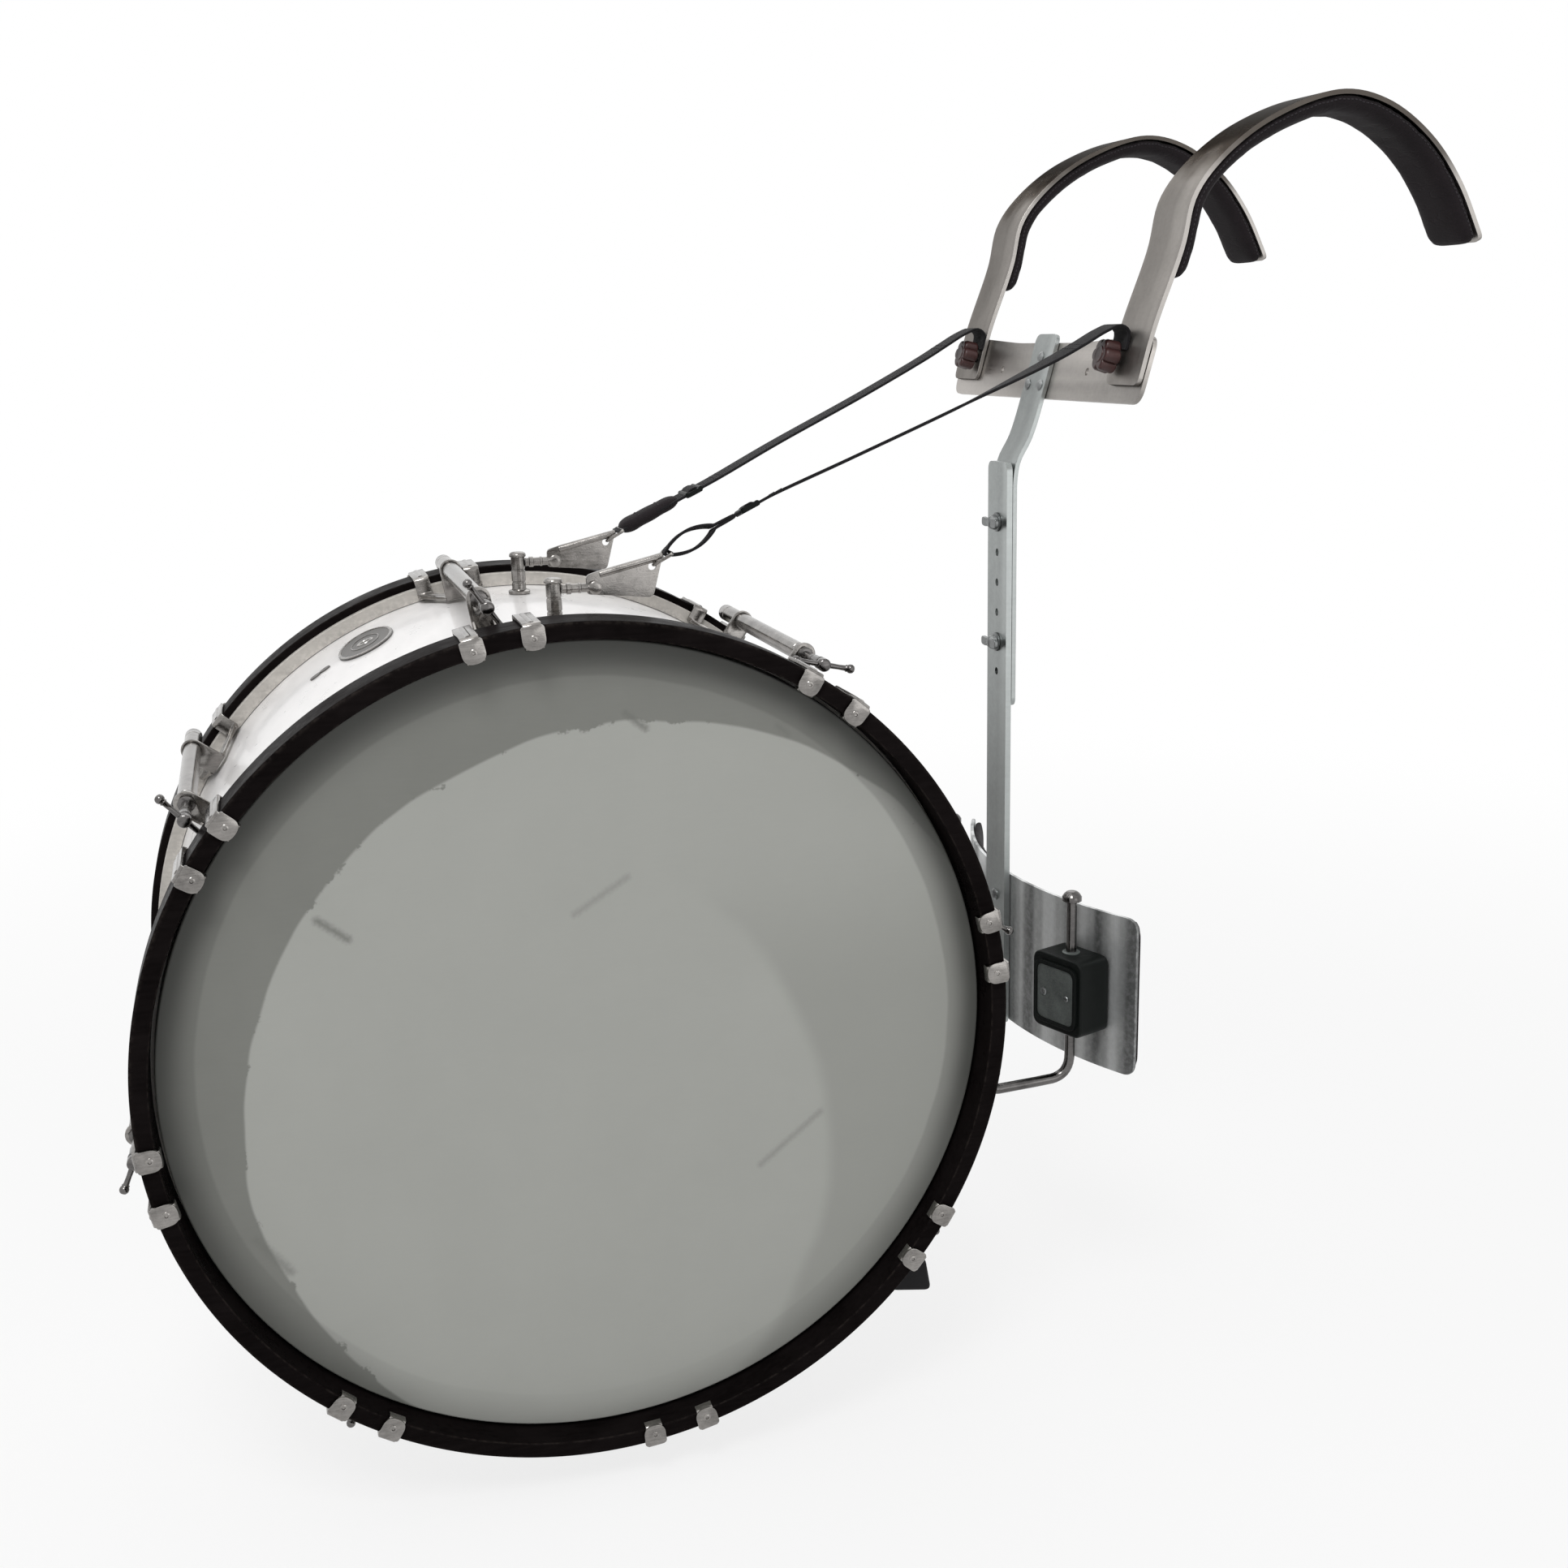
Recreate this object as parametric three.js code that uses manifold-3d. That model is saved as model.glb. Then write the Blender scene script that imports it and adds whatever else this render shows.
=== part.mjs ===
// Marching bass drum with its shoulder carrier.
// Millimetres, +Z up. The drum's axis runs along Y and its near head faces -Y.
// The player stands on the +X side, behind the belly plate.
import * as THREE from 'three';
import { mergeVertices } from 'three/addons/utils/BufferGeometryUtils.js';
import Module from 'manifold-3d';

const wasm = await Module();
wasm.setup();

// ---- Driving dimensions ------------------------------------------------

const FIT = {
  gap: 0.3, // clearance between pieces that touch
  running: 0.5, // clearance round a turning or sliding piece
  through: 4, // how far a cutter runs past the piece it cuts
};

const ROUND = {
  drum: 60, rod: 8, bore: 10, boss: 12, ball: 6, corner: 3, bar: 6, hex: 6, oval: 20, loop: 9,
};

const SHELL = { radius: 304.8, wall: 6, halfDepth: 172.6, bearing: 6, rim: 1.8, edge: 1.6 };

// The collar's play is its gap to the shell; the flesh hoop hangs at its lower edge.
const HEAD = { film: 0.7, shoulder: 1.4, play: 0.45, collar: 0.8, flesh: 10, fleshDepth: 8.3 };

// The hoop stands proud of the flesh hoop and runs forward past the head.
const HOOP = { proud: 5.95, wall: 13, depth: 38.1, recess: 21.4, round: 2 };

// Screw axes stand this far outside the hoops. Angles are in degrees.
const STATION = { count: 8, first: 9.2, stand: 10 };

// Angle of each T-handle from the radius, as the player last left it, in degrees.
const HANDLE_TURNS = [40, 67, -26, 12, -57, -33, -7, 16];

// Lengths along the drum are counted from the back of the step behind the hoop.
const FORK = {
  sheet: 2.6, spread: 21.5, finger: 13, tab: 17, tabRound: 6, bend: 1.6,
  lipReach: 7.9, lipGap: 0.7, clear: 2.9, shoulder: 8, waist: 9, throat: 5,
  landing: 11.4, crotch: 33.4, taper: 49.4, eye: 52.4, eyeDepth: 3, eyeRound: 9,
};

const SCREW = {
  radius: 3.5, play: 6, collar: 6, collarDepth: 3.7, hub: 5, hubDepth: 10,
  setback: 4.4, bar: 2.3, reach: 25, ball: 3.5,
};

const TUBE = { radius: 7, lead: 9, endGap: 2.3, nose: 4.5, dome: 5, boreShare: 0.643 };

const BADGE = { angle: 114.75, yShare: 0.336, axial: 88, across: 48, sheet: 1.3, standoff: 0.7, vent: 5 };

// Outline shares run along the hoop and outward, in spans of the foot.
const FOOT = {
  angle: -44.5, setback: 9.9, depth: 30, stemWidth: 16, stemReach: 40.2, flange: 13,
  standoff: 24.1, span: 52.3, round: 5,
  outlineShares: [[-0.12, 0], [-0.495, 0.516], [-0.14, 1], [0.262, 0.428]],
};

// The fan plate's outline shares run along its length and up its height.
const EAR = {
  inset: 81.6, x: 2.5, post: 5.75, postHeight: 31.2, flange: 9, flangeDepth: 3, cap: 7, capDepth: 4,
  rod: 3.4, rodHeight: 26.2, sheet: 3, roll: 2.8, hole: 3, round: 5,
  boltHead: 5, boltDepth: 4, start: 24.5, long: 59, tall: 33, drop: 10,
  outlineShares: [[0, 0.576], [0.17, 0.667], [1, 1], [0.85, 0], [0.17, 0.121], [0, 0.152]],
  holeShares: [0.85, 0.7], boltShare: 0.1,
};

// The post stands this far outside the hoops; the bolts count down from its top.
const POST = {
  stand: 72, sheet: 5, half: 20, low: -90, high: 403, round: 8,
  boltDrop: 50, pitch: 25.4, holes: 6, hole: 3.2, boltHole: 4.6, boltLow: 4,
};

const STEM = {
  sheet: 4, half: 20, tail: 53.4, bendDrop: 5, slantRun: 38.2, slantRise: 107,
  slantShares: [[0.084, 0.056], [0.348, 0.234], [0.673, 0.589], [1, 1]],
  slotUnder: 6.4, slotOver: 42, slotHalf: 4.6, round: 8,
};

const BOLT = { shank: 4, head: 8, headDepth: 5, wing: 15, wingSheet: 3, wingTall: 8, nut: 7.5, nutDepth: 5 };

// The yoke plate lies on the stem's last straight, this share of the way up it.
const YOKE = { placeShare: 0.66, sheet: 3.5, half: 182, below: 37, above: 15, round: 13, dipHalf: 62, dip: 6 };

// Crown shares run back over the shoulder and up, from the top of the arch's foot.
const ARCH = {
  edge: 1, half: 26, sheet: 3.5, footBelow: 24, footAbove: 20, reach: 279, rise: 165.4,
  crownShares: [[0.075, 0.341], [0.106, 0.553], [0.18, 0.713], [0.324, 0.885], [0.534, 1],
    [0.679, 0.958], [0.817, 0.81], [0.917, 0.613], [1, 0.353]],
  padDepth: 11, padOverhang: 1, padStartShare: 0.18, samples: 28,
};

const KNOB = {
  inward: 15, drop: 5, stud: 3.5, studBack: 3.2, hole: 4.3, strapRoom: 3.4, depth: 13,
  radius: 11.5, lobe: 3.4, lobes: 6, lobeRing: 10.2,
};

const BELLY = {
  radius: 361, seat: 0.4, sheet: 3, beyond: 20.5, low: -86, high: 49, round: 12,
  pad: 7.5, padInset: 1, facets: 24,
};

const CLAMP = {
  inset: 23.3, depth: 33, half: 27.5, low: -52, high: 13, round: 9,
  face: 2.6, faceHalf: 23, faceInset: 7, faceRound: 8, rod: 16.8,
};

const HOOK = {
  radius: 4.25, rise: 44, cap: 8, capDepth: 5, capDome: 4, kneeDrop: 24, kneeRound: 20,
  armDrop: 2, tipRound: 11, tip: 38, bore: 4.95, steps: 28,
};

const SOCKET = {
  reach: 27.2, half: 11, over: 14, tall: 28, bore: 5.1, flangeHalf: 13, flange: 3,
  flangeBelow: 22, flangeAbove: 20, standoff: 0.7,
};

// The fold's shares are of the knob's depth and radius, from behind its middle.
const STRAP = {
  webbing: 2.2, half: 12.5, hookDrop: 1.7, lower: 72.6, slope: 25,
  loop: 7.5, sleeve: 6, sleeveHalf: 14, tail: 5, steps: 12, foldSteps: 14,
  buckleHalf: 15.5, buckleLong: 15, buckleDepth: 5, bar: 3.4, barGap: 3,
  riseShares: [[0.053, 0, 0.053], [0.291, 0.347, 0.289], [0.64, 0.694, 0.628], [0.895, 0.918, 0.889]],
  joinShares: [-2.08, 0.4],
  foldShares: [[-2.46, 0.08], [-1.33, 1.107], [-0.588, 1.566], [-0.087, 1.445], [0, 0.949], [-0.01, 0.4875]],
};

const COLOUR = {
  pearl: 0xe9e8e4, film: 0xb9bbb4, hoop: 0x17161b, chrome: 0xb9b7b4, aluminium: 0xb8b9bb,
  black: 0x1b1a1d, foam: 0x201d22, knob: 0x4a2c28, web: 0x1e1d21, badge: 0xa9a9a9, steel: 0x8f9194,
};

// ---- Derived values ----------------------------------------------------

const SIDES = [['near', -1], ['far', 1]];
const degrees = THREE.MathUtils.degToRad;

const headFace = SHELL.halfDepth + FIT.gap + HEAD.film;
const headBore = SHELL.radius + HEAD.play;
const headSkin = headBore + HEAD.collar;
const hoopRadius = headSkin + HEAD.flesh + HOOP.proud;
const hoopInner = hoopRadius - HOOP.wall;
const hoopFront = headFace + HOOP.recess;
const hoopRear = hoopFront - HOOP.depth;
const fleshFront = hoopRear - FIT.gap;
const fleshRear = fleshFront - HEAD.fleshDepth;

const screwAxis = hoopRadius + STATION.stand;
const stepFront = fleshRear - FIT.gap;
const stepRear = stepFront - FORK.sheet;
const eyeFace = stepRear - FORK.eye;
const tubeStart = eyeFace - TUBE.lead;
const tubeEnd = fleshRear - TUBE.endGap;
const boreDepth = (tubeStart + tubeEnd) * TUBE.boreShare;
const handlePlane = stepRear - SCREW.setback;

const earY = SHELL.halfDepth - EAR.inset;
const earRodZ = SHELL.radius + EAR.rodHeight;
const earPoint = ([along, up]) => [
  EAR.x + EAR.start + along * EAR.long, earRodZ - EAR.drop + up * EAR.tall,
];

const postFront = hoopRadius + POST.stand;
const postBack = postFront + POST.sheet;
const stemFront = postBack + FIT.gap;
const stemMiddle = stemFront + STEM.sheet / 2;
const stemBack = stemFront + STEM.sheet;
const boltHighZ = POST.high - POST.boltDrop;
const boltLowZ = boltHighZ - POST.boltLow * POST.pitch;
const slotLow = boltLowZ - STEM.slotUnder;
const slotHigh = boltHighZ + STEM.slotOver;
const bendZ = POST.high - STEM.bendDrop;
const stemSlant = STEM.slantShares.map(([along, up]) => [
  stemMiddle + along * STEM.slantRun, bendZ + up * STEM.slantRise,
]);

// The yoke plate's frame: its origin on the stem's middle line, Z up along the slant.
const [slantFoot, slantTop] = stemSlant.slice(-2);
const yokeX = slantFoot[0] + YOKE.placeShare * (slantTop[0] - slantFoot[0]);
const yokeZ = slantFoot[1] + YOKE.placeShare * (slantTop[1] - slantFoot[1]);
const yokeTilt = Math.atan2(slantTop[0] - slantFoot[0], slantTop[1] - slantFoot[1]);
const archY = YOKE.half - ARCH.edge - ARCH.half;
const knobY = archY - KNOB.inward;
const yokeBack = STEM.sheet / 2 + FIT.gap;
const archFront = yokeBack - FIT.gap - ARCH.sheet;
const knobFace = archFront - FIT.gap - KNOB.strapRoom;
const knobOuter = KNOB.lobeRing + KNOB.lobe;

const bellyApex = postBack + BELLY.seat;
const clampY = fleshRear - CLAMP.inset;
const bellyHalf = clampY + CLAMP.half + BELLY.beyond;
const tipX = SHELL.radius + SOCKET.reach;
const kneeZ = CLAMP.low - HOOK.kneeDrop;
const elbowZ = kneeZ - HOOK.kneeRound;
const armZ = elbowZ - HOOK.armDrop;
const socketLow = armZ + SOCKET.over;
const socketHigh = socketLow + SOCKET.tall;

// ---- Solids ------------------------------------------------------------

const WELD = 1e-4;
const QUARTER = Math.PI / 2;

// Welds a geometry into one closed surface that faces outward.
function weld(geometry) {
  const bare = geometry.index ? geometry.toNonIndexed() : geometry.clone();
  for (const name of Object.keys(bare.attributes)) {
    if (name !== 'position') bare.deleteAttribute(name);
  }
  const merged = mergeVertices(bare, WELD);
  const position = merged.getAttribute('position');
  const source = merged.index.array;
  const corner = [new THREE.Vector3(), new THREE.Vector3(), new THREE.Vector3()];
  const kept = [];
  let volume = 0;
  for (let i = 0; i < source.length; i += 3) {
    const [a, b, c] = [source[i], source[i + 1], source[i + 2]];
    if (a === b || b === c || c === a) continue;
    [a, b, c].forEach((index, k) => corner[k].fromBufferAttribute(position, index));
    volume += corner[0].dot(corner[1].clone().cross(corner[2]));
    kept.push([a, b, c]);
  }
  const ordered = volume < 0 ? kept.map(([a, b, c]) => [a, c, b]) : kept;
  merged.setIndex(ordered.flat());
  return merged;
}

function solidOf(geometry) {
  if (!geometry.isBufferGeometry) return geometry;
  const closed = weld(geometry);
  return new wasm.Manifold(new wasm.Mesh({
    numProp: 3,
    vertProperties: new Float32Array(closed.getAttribute('position').array),
    triVerts: new Uint32Array(closed.index.array),
  }));
}

function geometryOf(solid) {
  const mesh = solid.getMesh();
  const geometry = new THREE.BufferGeometry();
  geometry.setAttribute('position', new THREE.BufferAttribute(new Float32Array(mesh.vertProperties), 3));
  geometry.setIndex(new THREE.BufferAttribute(new Uint32Array(mesh.triVerts), 1));
  geometry.computeVertexNormals();
  return geometry;
}

const join = (first, ...rest) => rest.reduce((sum, piece) => sum.add(solidOf(piece)), solidOf(first));
const cut = (body, ...tools) => tools.reduce((left, tool) => left.subtract(solidOf(tool)), solidOf(body));
const common = (body, ...tools) => tools.reduce((left, tool) => left.intersect(solidOf(tool)), solidOf(body));

// ---- Outlines and extrusions -------------------------------------------

// A closed outline through corners, each rounded by the given radius or by its own.
function outline(corners, everyRadius = 0) {
  const shape = new THREE.Shape();
  const points = corners.map(([x, y]) => new THREE.Vector2(x, y));
  points.forEach((corner, i) => {
    const radius = corners[i][2] ?? everyRadius;
    const before = points[(i + points.length - 1) % points.length];
    const after = points[(i + 1) % points.length];
    const enter = corner.clone().add(before.clone().sub(corner).setLength(radius));
    const leave = corner.clone().add(after.clone().sub(corner).setLength(radius));
    if (i === 0) shape.moveTo(enter.x, enter.y);
    else shape.lineTo(enter.x, enter.y);
    if (radius > 0) shape.quadraticCurveTo(corner.x, corner.y, leave.x, leave.y);
  });
  shape.closePath();
  return shape;
}

const rectangle = (x0, x1, y0, y1) => [[x0, y0], [x1, y0], [x1, y1], [x0, y1]];

function extrude(shape, depth) {
  return new THREE.ExtrudeGeometry(shape, { depth, bevelEnabled: false, curveSegments: ROUND.corner });
}

// An outline drawn in X and Z, filled from y0 to y1.
const alongY = (shape, y0, y1) => extrude(shape, y1 - y0).rotateX(QUARTER).translate(0, y1, 0);

// An outline drawn in X and Y, filled from z0 to z1.
const alongZ = (shape, z0, z1) => extrude(shape, z1 - z0).translate(0, 0, z0);

// An outline drawn in Y and Z, filled from x0 to x1.
function alongX(shape, x0, x1) {
  const turn = new THREE.Matrix4().makeBasis(
    new THREE.Vector3(0, 1, 0), new THREE.Vector3(0, 0, 1), new THREE.Vector3(1, 0, 0));
  return extrude(shape, x1 - x0).applyMatrix4(turn).translate(x0, 0, 0);
}

const boxAt = (x0, x1, y0, y1, z0, z1) => new THREE.BoxGeometry(x1 - x0, y1 - y0, z1 - z0)
  .translate((x0 + x1) / 2, (y0 + y1) / 2, (z0 + z1) / 2);

// Round bars between two stations along one axis.
function rodY(radius, y0, y1, x, z, sides = ROUND.rod, tip = radius) {
  return new THREE.CylinderGeometry(tip, radius, y1 - y0, sides).translate(x, (y0 + y1) / 2, z);
}

function rodX(radius, x0, x1, y, z, sides = ROUND.rod) {
  return new THREE.CylinderGeometry(radius, radius, x1 - x0, sides)
    .rotateZ(-QUARTER).translate((x0 + x1) / 2, y, z);
}

function rodZ(radius, z0, z1, x, y, sides = ROUND.rod, tip = radius) {
  return new THREE.CylinderGeometry(tip, radius, z1 - z0, sides)
    .rotateX(QUARTER).translate(x, y, (z0 + z1) / 2);
}

// A closed ring or disc about the drum's axis, from [radius, y] points.
function turned(profile, closed = true) {
  const points = profile.map(([radius, y]) => new THREE.Vector2(radius, y));
  if (closed) points.push(points[0].clone());
  return new THREE.LatheGeometry(points, ROUND.drum);
}

// Offsets an open line of [x, y] points to its right by a distance.
function offsetLine(line, distance) {
  return line.map((point, i) => {
    const from = line[Math.max(i - 1, 0)];
    const to = line[Math.min(i + 1, line.length - 1)];
    const length = Math.hypot(to[0] - from[0], to[1] - from[1]);
    return [
      point[0] + distance * (to[1] - from[1]) / length,
      point[1] - distance * (to[0] - from[0]) / length,
    ];
  });
}

// The closed outline of a strip that lies between two offsets of a line.
function strip(line, inner, outer) {
  return outline([...offsetLine(line, inner), ...offsetLine(line, outer).reverse()]);
}

// A smooth line through [x, y] points, sampled evenly.
function smoothLine(points, samples) {
  const curve = new THREE.CatmullRomCurve3(points.map(([x, y]) => new THREE.Vector3(x, y, 0)), false, 'centripetal');
  return curve.getSpacedPoints(samples).map((point) => [point.x, point.y]);
}

function mesh(name, body, colour, roughness, metalness) {
  const geometry = body.isBufferGeometry ? weld(body) : geometryOf(body);
  const material = new THREE.MeshStandardMaterial({ color: colour, roughness, metalness });
  const node = new THREE.Mesh(geometry, material);
  node.name = name;
  return node;
}

const metal = (name, body, colour = COLOUR.chrome) => mesh(name, body, colour, 0.25, 1);
const brushed = (name, body) => mesh(name, body, COLOUR.aluminium, 0.4, 1);
const soft = (name, body, colour = COLOUR.foam) => mesh(name, body, colour, 0.95, 0);

// ---- Drum --------------------------------------------------------------

const badgeY = SHELL.halfDepth * BADGE.yShare;

function shellBody() {
  const inner = SHELL.radius - SHELL.wall;
  const half = [
    [inner, SHELL.halfDepth - SHELL.bearing],
    [SHELL.radius - SHELL.rim, SHELL.halfDepth],
    [SHELL.radius, SHELL.halfDepth - SHELL.edge],
  ];
  const mirrored = half.map(([radius, y]) => [radius, -y]).reverse();
  const ring = turned([...half, ...mirrored]);
  const vent = rodZ(BADGE.vent, inner - FIT.through, SHELL.radius + FIT.through, 0, badgeY, ROUND.bore);
  return mesh('shell', cut(ring, vent.rotateY(QUARTER - degrees(BADGE.angle))), COLOUR.pearl, 0.35, 0);
}

// One head: a flat film, its collar down the shell's edge, and the flesh hoop.
function drumHead(name, side) {
  const inside = headFace - HEAD.film;
  const profile = [
    [0, headFace], [headSkin - HEAD.shoulder, headFace], [headSkin, headFace - HEAD.shoulder],
    [headSkin, fleshFront], [headSkin + HEAD.flesh, fleshFront], [headSkin + HEAD.flesh, fleshRear],
    [headBore, fleshRear], [headBore, inside], [0, inside],
  ];
  return mesh(name, turned(profile, false).scale(1, side, 1), COLOUR.film, 0.6, 0);
}

function hoopRing(name, side) {
  const profile = [
    [hoopInner, hoopFront], [hoopRadius - HOOP.round, hoopFront],
    [hoopRadius, hoopFront - HOOP.round], [hoopRadius, hoopRear], [hoopInner, hoopRear],
  ];
  return mesh(name, turned(profile).scale(1, side, 1), COLOUR.hoop, 0.2, 0);
}

// A sheet that hugs the shell, one thickness above a small standoff.
function huggingRing(standoff, sheet, y0, y1) {
  const inside = SHELL.radius + standoff;
  return turned([[inside, y0], [inside + sheet, y0], [inside + sheet, y1], [inside, y1]]);
}

function badgePlate() {
  const oval = new THREE.Shape().absellipse(0, 0, BADGE.across / 2, BADGE.axial / 2, 0, Math.PI * 2);
  const column = new THREE.ExtrudeGeometry(oval, {
    depth: BADGE.axial, bevelEnabled: false, curveSegments: ROUND.oval,
  }).translate(0, badgeY, SHELL.radius - BADGE.axial / 2).rotateY(QUARTER - degrees(BADGE.angle));
  const low = badgeY - BADGE.axial;
  const high = badgeY + BADGE.axial;
  const sheet = huggingRing(BADGE.standoff, BADGE.sheet, low, high);
  return mesh('shell_badge', common(sheet, column), COLOUR.badge, 0.35, 0.6);
}

// A rubber foot on a stem from the shell, under the hoop's lower side.
function rubberFoot() {
  const front = FOOT.setback - hoopRear;
  const back = front + FOOT.depth;
  const middle = (front + back) / 2;
  const half = FOOT.stemWidth / 2;
  const turn = QUARTER - degrees(FOOT.angle);
  const root = SHELL.radius + SOCKET.standoff;
  const corners = FOOT.outlineShares.map(([along, out]) => [
    along * FOOT.span, SHELL.radius + FOOT.standoff + out * FOOT.span,
  ]);
  const wedge = alongY(outline(corners, FOOT.round), front, back).rotateY(turn);
  const stem = boxAt(-half, half, middle - half, middle + half, SHELL.radius,
    SHELL.radius + FOOT.stemReach).rotateY(turn);
  const column = boxAt(-FOOT.flange, FOOT.flange, middle - FOOT.flange, middle + FOOT.flange,
    SHELL.radius - FOOT.flange, SHELL.radius + FOOT.stemReach).rotateY(turn);
  const flange = common(huggingRing(SOCKET.standoff, SOCKET.flange, front, back), column);
  const clear = turned([[0, front], [root, front], [root, back], [0, back]], false);
  return soft('rubber_foot', cut(join(wedge, stem, flange), clear), COLOUR.black);
}

// ---- Tension stations --------------------------------------------------
// Each is drawn at the drum's top: X runs along the hoop, Z outward.

// Half of a fork: one finger that hooks over the hoop and steps down behind it.
// It lies square to the radius through its own middle, a little round the hoop.
function forkFinger(way) {
  const front = hoopFront + FIT.gap;
  const tabFace = front + FORK.sheet;
  const over = hoopRadius + FIT.gap;
  const top = over + FORK.sheet;
  const lipTop = hoopInner - FORK.lipGap;
  const floor = SHELL.radius + FORK.clear;
  const deck = floor + FORK.sheet;
  const landing = FORK.landing - stepRear;
  const profile = [
    [-tabFace + FORK.lipReach, lipTop - FORK.sheet], [-tabFace, lipTop - FORK.sheet],
    [-tabFace, top - FORK.bend], [-tabFace + FORK.bend, top], [-stepRear - FORK.bend, top],
    [-stepRear, top - FORK.bend], [-stepRear, deck], [landing, deck],
    [landing, floor], [-stepFront, floor], [-stepFront, over],
    [-front, over], [-front, lipTop], [-tabFace + FORK.lipReach, lipTop],
  ];
  const band = alongX(outline(profile), -FORK.finger / 2, FORK.finger / 2);
  const tabShape = outline([
    [-FORK.tab / 2, lipTop - FORK.sheet, FORK.tabRound], [FORK.tab / 2, lipTop - FORK.sheet, FORK.tabRound],
    [FORK.tab / 2, top - FORK.bend], [-FORK.tab / 2, top - FORK.bend],
  ]);
  const tab = alongY(tabShape, -tabFace, -front);
  return geometryOf(join(band, tab)).rotateY(way * Math.asin(FORK.spread / hoopRadius));
}

// The web that gathers both fingers, and the upright eye for the screw.
function forkWeb() {
  const outer = FORK.spread + FORK.finger / 2;
  const inner = FORK.spread - FORK.finger / 2;
  const floor = SHELL.radius + FORK.clear;
  const eyeBack = FORK.eyeDepth - eyeFace;
  const half = [
    [inner, -stepRear], [outer, -stepRear], [outer, FORK.shoulder - stepRear],
    [FORK.waist, FORK.taper - stepRear], [FORK.waist, eyeBack],
  ];
  const left = half.map(([x, y]) => [-x, y]).reverse();
  const crotch = [[-inner, FORK.landing - stepRear], [-FORK.throat, FORK.crotch - stepRear],
    [FORK.throat, FORK.crotch - stepRear], [inner, FORK.landing - stepRear]];
  const web = alongZ(outline([...half, ...left, ...crotch]), floor, floor + FORK.sheet);
  const upright = join(
    boxAt(-FORK.waist, FORK.waist, -eyeFace, eyeBack, floor, screwAxis),
    rodY(FORK.eyeRound, -eyeFace, eyeBack, 0, screwAxis, ROUND.bore));
  return join(web, upright);
}

const forkSolid = join(forkFinger(-1), forkFinger(1), forkWeb());

function nearForkSolid() {
  const hole = SCREW.radius + 2 * FIT.running;
  return cut(forkSolid, rodY(hole, -eyeFace - FIT.through,
    -eyeFace + FORK.eyeDepth + FIT.through, 0, screwAxis, ROUND.bore));
}

// The far fork is the near one mirrored, with the long tube nut fixed in its eye.
function farForkSolid() {
  const fork = geometryOf(forkSolid).scale(1, -1, 1);
  const tube = join(
    rodY(TUBE.radius, -tubeStart, tubeEnd, 0, screwAxis, ROUND.bore),
    rodY(TUBE.radius, tubeEnd, tubeEnd + TUBE.dome, 0, screwAxis, ROUND.bore, TUBE.nose));
  const bore = rodY(SCREW.radius + FIT.running, -tubeStart - FIT.through, boreDepth - tubeStart,
    0, screwAxis, ROUND.bore);
  return cut(join(fork, tube), bore);
}

function screwSolid() {
  const handle = [-1, 1].map((way) => new THREE.SphereGeometry(SCREW.ball, ROUND.ball, ROUND.ball - 1)
    .translate(way * (SCREW.reach - SCREW.ball), -handlePlane, 0));
  const bar = SCREW.reach - SCREW.ball;
  const collarBack = -eyeFace - FIT.gap;
  const tip = boreDepth - tubeStart - SCREW.play;
  return join(
    rodY(SCREW.radius, -handlePlane, tip, 0, 0),
    rodY(SCREW.collar, collarBack - SCREW.collarDepth, collarBack, 0, 0),
    rodY(SCREW.hub, -handlePlane - SCREW.hubDepth / 2, -handlePlane + SCREW.hubDepth / 2, 0, 0),
    rodX(SCREW.bar, -bar, bar, -handlePlane, 0, ROUND.bar),
    ...handle);
}

function tensionStations() {
  const group = new THREE.Group();
  const near = nearForkSolid();
  const far = farForkSolid();
  const screw = screwSolid();
  for (let i = 0; i < STATION.count; i += 1) {
    const number = i + 1;
    const station = new THREE.Group();
    station.rotation.y = QUARTER - degrees(STATION.first + i * 360 / STATION.count);
    const turner = metal(`t_screw_${number}`, screw);
    turner.position.z = screwAxis;
    turner.rotation.y = degrees(HANDLE_TURNS[i]) - QUARTER;
    station.add(metal(`near_fork_${number}`, near), metal(`far_fork_${number}`, far), turner);
    group.add(station);
  }
  return group;
}

// ---- Strap ears --------------------------------------------------------

function earPost(name, side) {
  const y = side * earY;
  const foot = SHELL.radius + FIT.gap;
  const top = SHELL.radius + EAR.postHeight;
  return metal(name, join(
    rodZ(EAR.post, foot, top, EAR.x, y, ROUND.boss),
    rodZ(EAR.flange, foot, foot + EAR.flangeDepth, EAR.x, y, ROUND.boss),
    rodZ(EAR.cap, top, top + EAR.capDepth, EAR.x, y, ROUND.boss, EAR.post)));
}

// A rod off the post with a fan-shaped plate that holds the strap.
function earPlate(name, side) {
  const y = side * earY;
  const half = EAR.sheet / 2;
  const start = EAR.x + EAR.post + FIT.gap;
  const corners = EAR.outlineShares.map(earPoint);
  const [, [rollX, rollZ], [endX, endZ]] = corners;
  const [boltX] = earPoint([EAR.boltShare, 0]);
  const [holeX, holeZ] = earPoint(EAR.holeShares);
  const roll = new THREE.CylinderGeometry(EAR.roll, EAR.roll, Math.hypot(endX - rollX, endZ - rollZ), ROUND.rod)
    .rotateZ(-QUARTER).rotateY(-Math.atan2(endZ - rollZ, endX - rollX))
    .translate((rollX + endX) / 2, y, (rollZ + endZ) / 2 - EAR.roll);
  const body = join(
    alongY(outline(corners, EAR.round), y - half, y + half),
    rodX(EAR.rod, start, boltX, y, earRodZ),
    rodY(EAR.boltHead, y - half - EAR.boltDepth, y + half + EAR.boltDepth, boltX, earRodZ),
    roll);
  const hole = rodY(EAR.hole, y - half - FIT.through, y + half + FIT.through, holeX, holeZ, ROUND.bore);
  return metal(name, cut(body, hole));
}

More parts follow.
